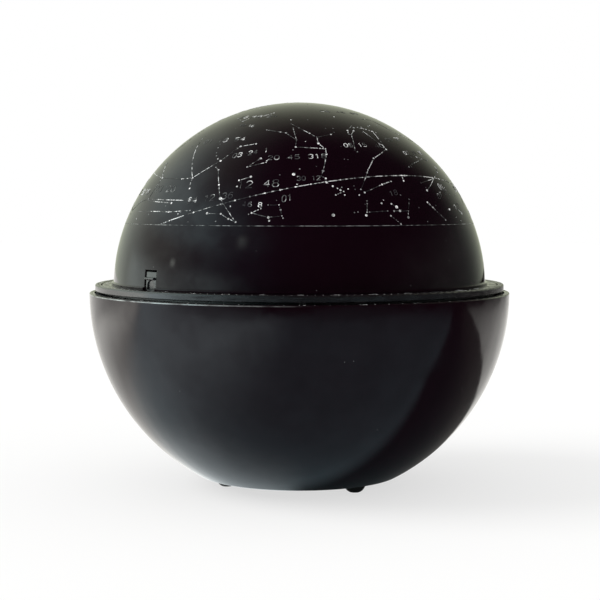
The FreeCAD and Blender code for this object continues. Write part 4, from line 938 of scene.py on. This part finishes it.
# %% Figures in single strokes
STROKES = dict(line.split(": ") for line in """
0: 1,0 0,1.5 0,4.5 1,6 3,6 4,4.5 4,1.5 3,0 1,0
1: 0.8,4.8 2.2,6 2.2,0
2: 0,4.6 1,6 3,6 4,4.6 4,3.8 0,0 4,0
3: 0,5 1,6 3,6 4,5 4,4 2.6,3.2 4,2.4 4,1 3,0 1,0 0,1
4: 3,0 3,6 0,2 4,2
5: 3.8,6 0.4,6 0.2,3.4 3,3.6 4,2.4 4,1.2 3,0 1,0 0,0.8
6: 3.6,5.6 2.4,6 1,5.2 0,3.2 0,1.4 1,0 3,0 4,1.2 4,2.4 3,3.6 1,3.6 0,2.4
7: 0,6 4,6 1.6,0
8: 1,3.2 0.2,4.4 0.2,5.2 1,6 3,6 3.8,5.2 3.8,4.4 3,3.2 1,3.2 0,2 0,1 1,0 3,0 4,1 4,2 3,3.2
9: 0.4,0.4 1.6,0 3,0.8 4,2.8 4,4.6 3,6 1,6 0,4.8 0,3.6 1,2.4 3,2.4 4,3.6
""".strip().split("\n"))
GRID_WIDE, GRID_HIGH = 4, 6
GRID_PITCH = 5.8  # from one figure to the next


def strokes_of(text):
    """Runs of (across, up) grid points for a number, both measured from its middle; its width."""
    wide = GRID_PITCH * (len(text) - 1) + GRID_WIDE
    return [[(GRID_PITCH * place + across - wide / 2, up - GRID_HIGH / 2)
             for across, up in read_points(STROKES[figure])]
            for place, figure in enumerate(text) if figure != " "], wide


print("the number 20 has", len(strokes_of("20")[0]), "runs")

# %% [markdown]
# ## Numbers on the chart
#
# Plain numbers go with the figures: hours, minutes and degrees, as in an atlas. Each runs from one
# point of the sky to another, so it bends with the dome. Along the sun's path, 01 stands where a
# month begins.

# %% Print the chart's numbers
# number: hours and degrees where it starts, the same where it ends, height in millimetres
LABELS = """
04 12 36: 0.66,11.2,1.78,14,3.2; 12 48: 1.84,18.7,2.79,19.6,3.9; 03 24 1: 1.42,33.5,2.38,36.7,2.9;
20 45 318: 2.43,32.3,3.96,33.3,2.7; 56 10 24: 0.19,60.3,2.19,60.7,2.6; 60 15: 0.84,53.5,1.49,52.4,2;
01 18 54: -0.09,42.3,1.5,43.5,2.9; 23 20: -0.78,17,0.07,16.9,3.4; 30 12: 3.2,21.8,3.73,22.1,2.4;
05 15: 4.57,39.4,5.3,39.9,2.6; 40: 5.6,39.4,5.92,39.5,2.6; 06 35: 6.29,43.4,7.13,44.5,2.4;
07 20 48: 6.59,35.7,7.7,36.3,2.3; 18: 5.33,14.5,5.54,15.4,2.6; 07 05: 6.85,13.1,7.44,16.5,2.8;
12: 7.4,8,7.75,9,2.6; 05 45 60: 4.45,66.1,6.9,64.3,2.2; 16 8: 2.06,9.9,2.47,9.4,2.4;
08 24 40: 8.2,17,9.2,17,3.2; 09 36 15: 9,30,10.1,30,3; 10 50: 10.5,8.5,11.2,8.5,3.2;
12 30 56: 11.8,46,13.2,46,3; 13 10 05: 13.2,7,14.2,7,3.2; 12 45 24: 12.2,22.5,13.1,22.5,3;
14 40 30: 14.7,22,15.6,22,3.2; 15 45 29: 15.6,34,16.6,34,2.8; 17 05 28: 16.8,19.5,17.8,19.5,3.2;
18 50 36: 18.6,27,19.4,28,3; 20 30 42: 20,51,21.4,51,2.8; 19 40 06: 20.1,5,21.1,5,3;
20 40 14: 20.9,21,21.8,21,3; 22 50 19: 21.9,15.5,22.9,15.5,3.2; 16 30 64: 16.6,61,18.4,61,2.6;
10 50 65: 9.6,57.5,11.2,57.5,2.8; 15 20 75: 12.8,79,15.6,79,2.4
"""
MONTH_STARTS = (47, 107, 137, 167)  # longitudes where the ecliptic has room for one
MONTH_BACK, MONTH_ON, MONTH_BELOW = 1.2, 1.8, 4.4  # degrees from there to the number's ends


def on_chart(text, h1, d1, h2, d2, height):
    """A number from one (hours, degrees) to another, as chains of points on the dome."""
    runs, wide = strokes_of(text)
    spread_here = math.radians(SPREAD + 2 * SPREAD_GAIN * d1)
    step_up = height * MM / GRID_HIGH / (DOME_RADIUS * spread_here)  # degrees of sky
    return [[on_dome(h1 + (h2 - h1) * (across / wide + 0.5),
                     d1 + (d2 - d1) * (across / wide + 0.5) + step_up * up)
             for across, up in run] for run in runs]


numbers = []
for label in LABELS.split(";"):
    text, along = label.split(":")
    numbers += on_chart(text.strip(), *read_points(along)[0])
for longitude in MONTH_STARTS:
    (h1, d1), (h2, d2) = on_ecliptic(longitude - MONTH_BACK), on_ecliptic(longitude + MONTH_ON)
    numbers += on_chart("01", h1, d1 - MONTH_BELOW, h2, d2 - MONTH_BELOW, 3.4)
print_lines("chart_numbers", numbers, 0.36, letter_ink)

# %% [markdown]
# ## Date ring and hour rim
#
# To set the sky for an evening, the date on the turning ring is brought against the hour on the
# rim. The ring has a tick every two degrees, and a longer one every ten; the rim has one for each
# quarter of an hour. One tree makes both: it lays points round a circle and puts a bar on each.

# %% Tick ring tree
ticks, given = new_geometry_tree(
    "printed_ticks", Count="Int", Radius="Float", Short="Float", Long="Float", Every="Int",
    Width="Float", Height="Float", Film="Float", Ink="Material")
number = add(ticks, "GeometryNodeInputIndex").outputs[0]
angle = times(ticks, calc(ticks, "DIVIDE", number, given["Count"]), 2 * math.pi)
is_short = calc(ticks, "GREATER_THAN", calc(ticks, "MODULO", number, given["Every"]), 0.5)
length = add(ticks, "ShaderNodeMix", {
    "Factor": is_short, "A": given["Long"], "B": given["Short"]}).outputs[0]
middle = calc(ticks, "SUBTRACT", given["Radius"], times(ticks, length, 0.5))
across = times(ticks, calc(ticks, "SINE", angle), middle)
back = times(ticks, times(ticks, calc(ticks, "COSINE", angle), middle), -1.0)
spot = add(ticks, "ShaderNodeCombineXYZ", {0: across, 1: back, 2: given["Height"]})
points = add(ticks, "GeometryNodePoints", {"Count": given["Count"]})
laid = add(ticks, "GeometryNodeSetPosition", {"Geometry": points, "Position": spot})
bar = add(ticks, "GeometryNodeMeshCube", {"Size": (1.0, 1.0, 1.0)})
shape = add(ticks, "ShaderNodeCombineXYZ", {0: given["Width"], 1: length, 2: given["Film"]})
twist = add(ticks, "ShaderNodeCombineXYZ", {2: angle})
bars = add(ticks, "GeometryNodeInstanceOnPoints", {
    "Points": laid, "Instance": bar, "Rotation": twist, "Scale": shape})
close_tree(ticks, bars, given["Ink"])
print("tick tree has", len(ticks.nodes), "nodes")

# %% [markdown]
# The ring's ticks stand along its rolled edge, and the rim's on the lip just outside it, so that
# the two can be read against each other.

# %% Print the ticks
RING_TOP, SEAT_TOP, RIM_TOP = 106.4 * MM, 106.2 * MM, 102.0 * MM
TICK_WIDTH = 0.32 * MM

empty = bpy.data.meshes.new("empty")
grow("date_scale_ticks", ticks, empty, "turntable", "trim_ring", Count=180, Every=5,
     Radius=105.8 * MM, Short=0.8 * MM, Long=1.4 * MM, Height=RING_TOP + INK / 2,
     Width=TICK_WIDTH, Ink=star_ink)
grow("hour_scale_ticks", ticks, empty.copy(), "base", "base_shell", Count=96, Every=4,
     Radius=109.0 * MM, Short=0.7 * MM, Long=1.5 * MM, Height=RIM_TOP + INK / 2,
     Width=TICK_WIDTH, Ink=scale_ink)

# %% [markdown]
# ## Numbers on the ring and the rim
#
# The ring carries the months, 1 to 12, with 10 and 20 for the days between, and the rim the hours,
# 0 to 23, which run the other way. They are read from outside, so their feet point outwards.

# %% Print the scales' numbers
FAR_BELOW = Vector((0.0, 0.0, -1000.0))  # a centre that makes all normals of a level print upright
JANUARY_BEARING = ZERO_HOUR_BEARING + 189
HOUR_ZERO_BEARING = 1.2
DATE_RADIUS, HOUR_RADIUS = 101.0 * MM, 108.3 * MM
CATCH_CLEARANCE = 4  # degrees either side of the catch with no print


def on_ring(text, radius, bearing, height, level):
    """A number on a level ring, to be read from outside it, as chains of points."""
    step = height / GRID_HIGH
    chains = []
    for run in strokes_of(text)[0]:
        places = [(math.radians(bearing) + step * across / radius, radius - step * up)
                  for across, up in run]
        chains.append([Vector((r * math.sin(b), -r * math.cos(b), level + INK / 2))
                       for b, r in places])
    return chains


low, high = (Vector(corner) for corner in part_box("dome_catch"))
catch_at = (low + high) / 2
CATCH_BEARING = math.degrees(math.atan2(catch_at.x, -catch_at.y))
dates = []
for month in range(12):
    start = JANUARY_BEARING + 30 * month
    for text, height, bearing in ((str(month + 1), 2.8, start), ("10", 1.8, start + 10),
                                  ("20", 1.8, start + 20)):
        off_catch = (bearing - CATCH_BEARING + 180) % 360 - 180
        if abs(off_catch) > CATCH_CLEARANCE:
            dates += on_ring(text, DATE_RADIUS, bearing, height * MM, SEAT_TOP)
print_lines("date_scale_numbers", dates, 0.3, scale_ink, "turntable", "trim_ring", FAR_BELOW)

hours = [chain for hour in range(24) for chain in on_ring(
    str(hour), HOUR_RADIUS, HOUR_ZERO_BEARING - DEGREES_PER_HOUR * hour, 1.3 * MM, RIM_TOP)]
print_lines("hour_scale_numbers", hours, 0.2, scale_ink, "base", "base_shell", FAR_BELOW)

# %% [markdown]
# ## Switch marks
#
# A 0 and a 1, which need no language, are printed on the switch's flat plate at the back, and say
# which end of its slot is off and which is on.

# %% Figures on the switch plate
BOWL_RADIUS = 110.0 * MM
SWITCH_Z = 80.0 * MM
MARK_OFFSET = 7.8 * MM  # from the middle of the slot to a figure
MARK_HEIGHT = 2.4 * MM

sink = math.asin((SWITCH_Z - RIM_TOP) / BOWL_RADIUS)
plate_out = Vector((0.0, math.cos(sink), math.sin(sink)))
plate_up = Vector((0.0, -math.sin(sink), math.cos(sink)))
plate_right = Vector((-1.0, 0.0, 0.0))  # to the right for someone who faces the switch
plate_middle = Vector((0.0, 0.0, RIM_TOP)) + plate_out * BOWL_RADIUS


def on_plate(text, offset):
    """A number on the plate, as chains of points; offset is to the right of the slot's middle."""
    step = MARK_HEIGHT / GRID_HIGH
    return [[plate_middle + plate_out * INK / 2 + plate_right * (offset + step * across)
             + plate_up * step * up for across, up in run] for run in strokes_of(text)[0]]


marks = on_plate("0", -MARK_OFFSET) + on_plate("1", MARK_OFFSET)
print_lines("switch_marks", marks, 0.32, scale_ink, "base", "trim_ring", plate_middle - plate_out)
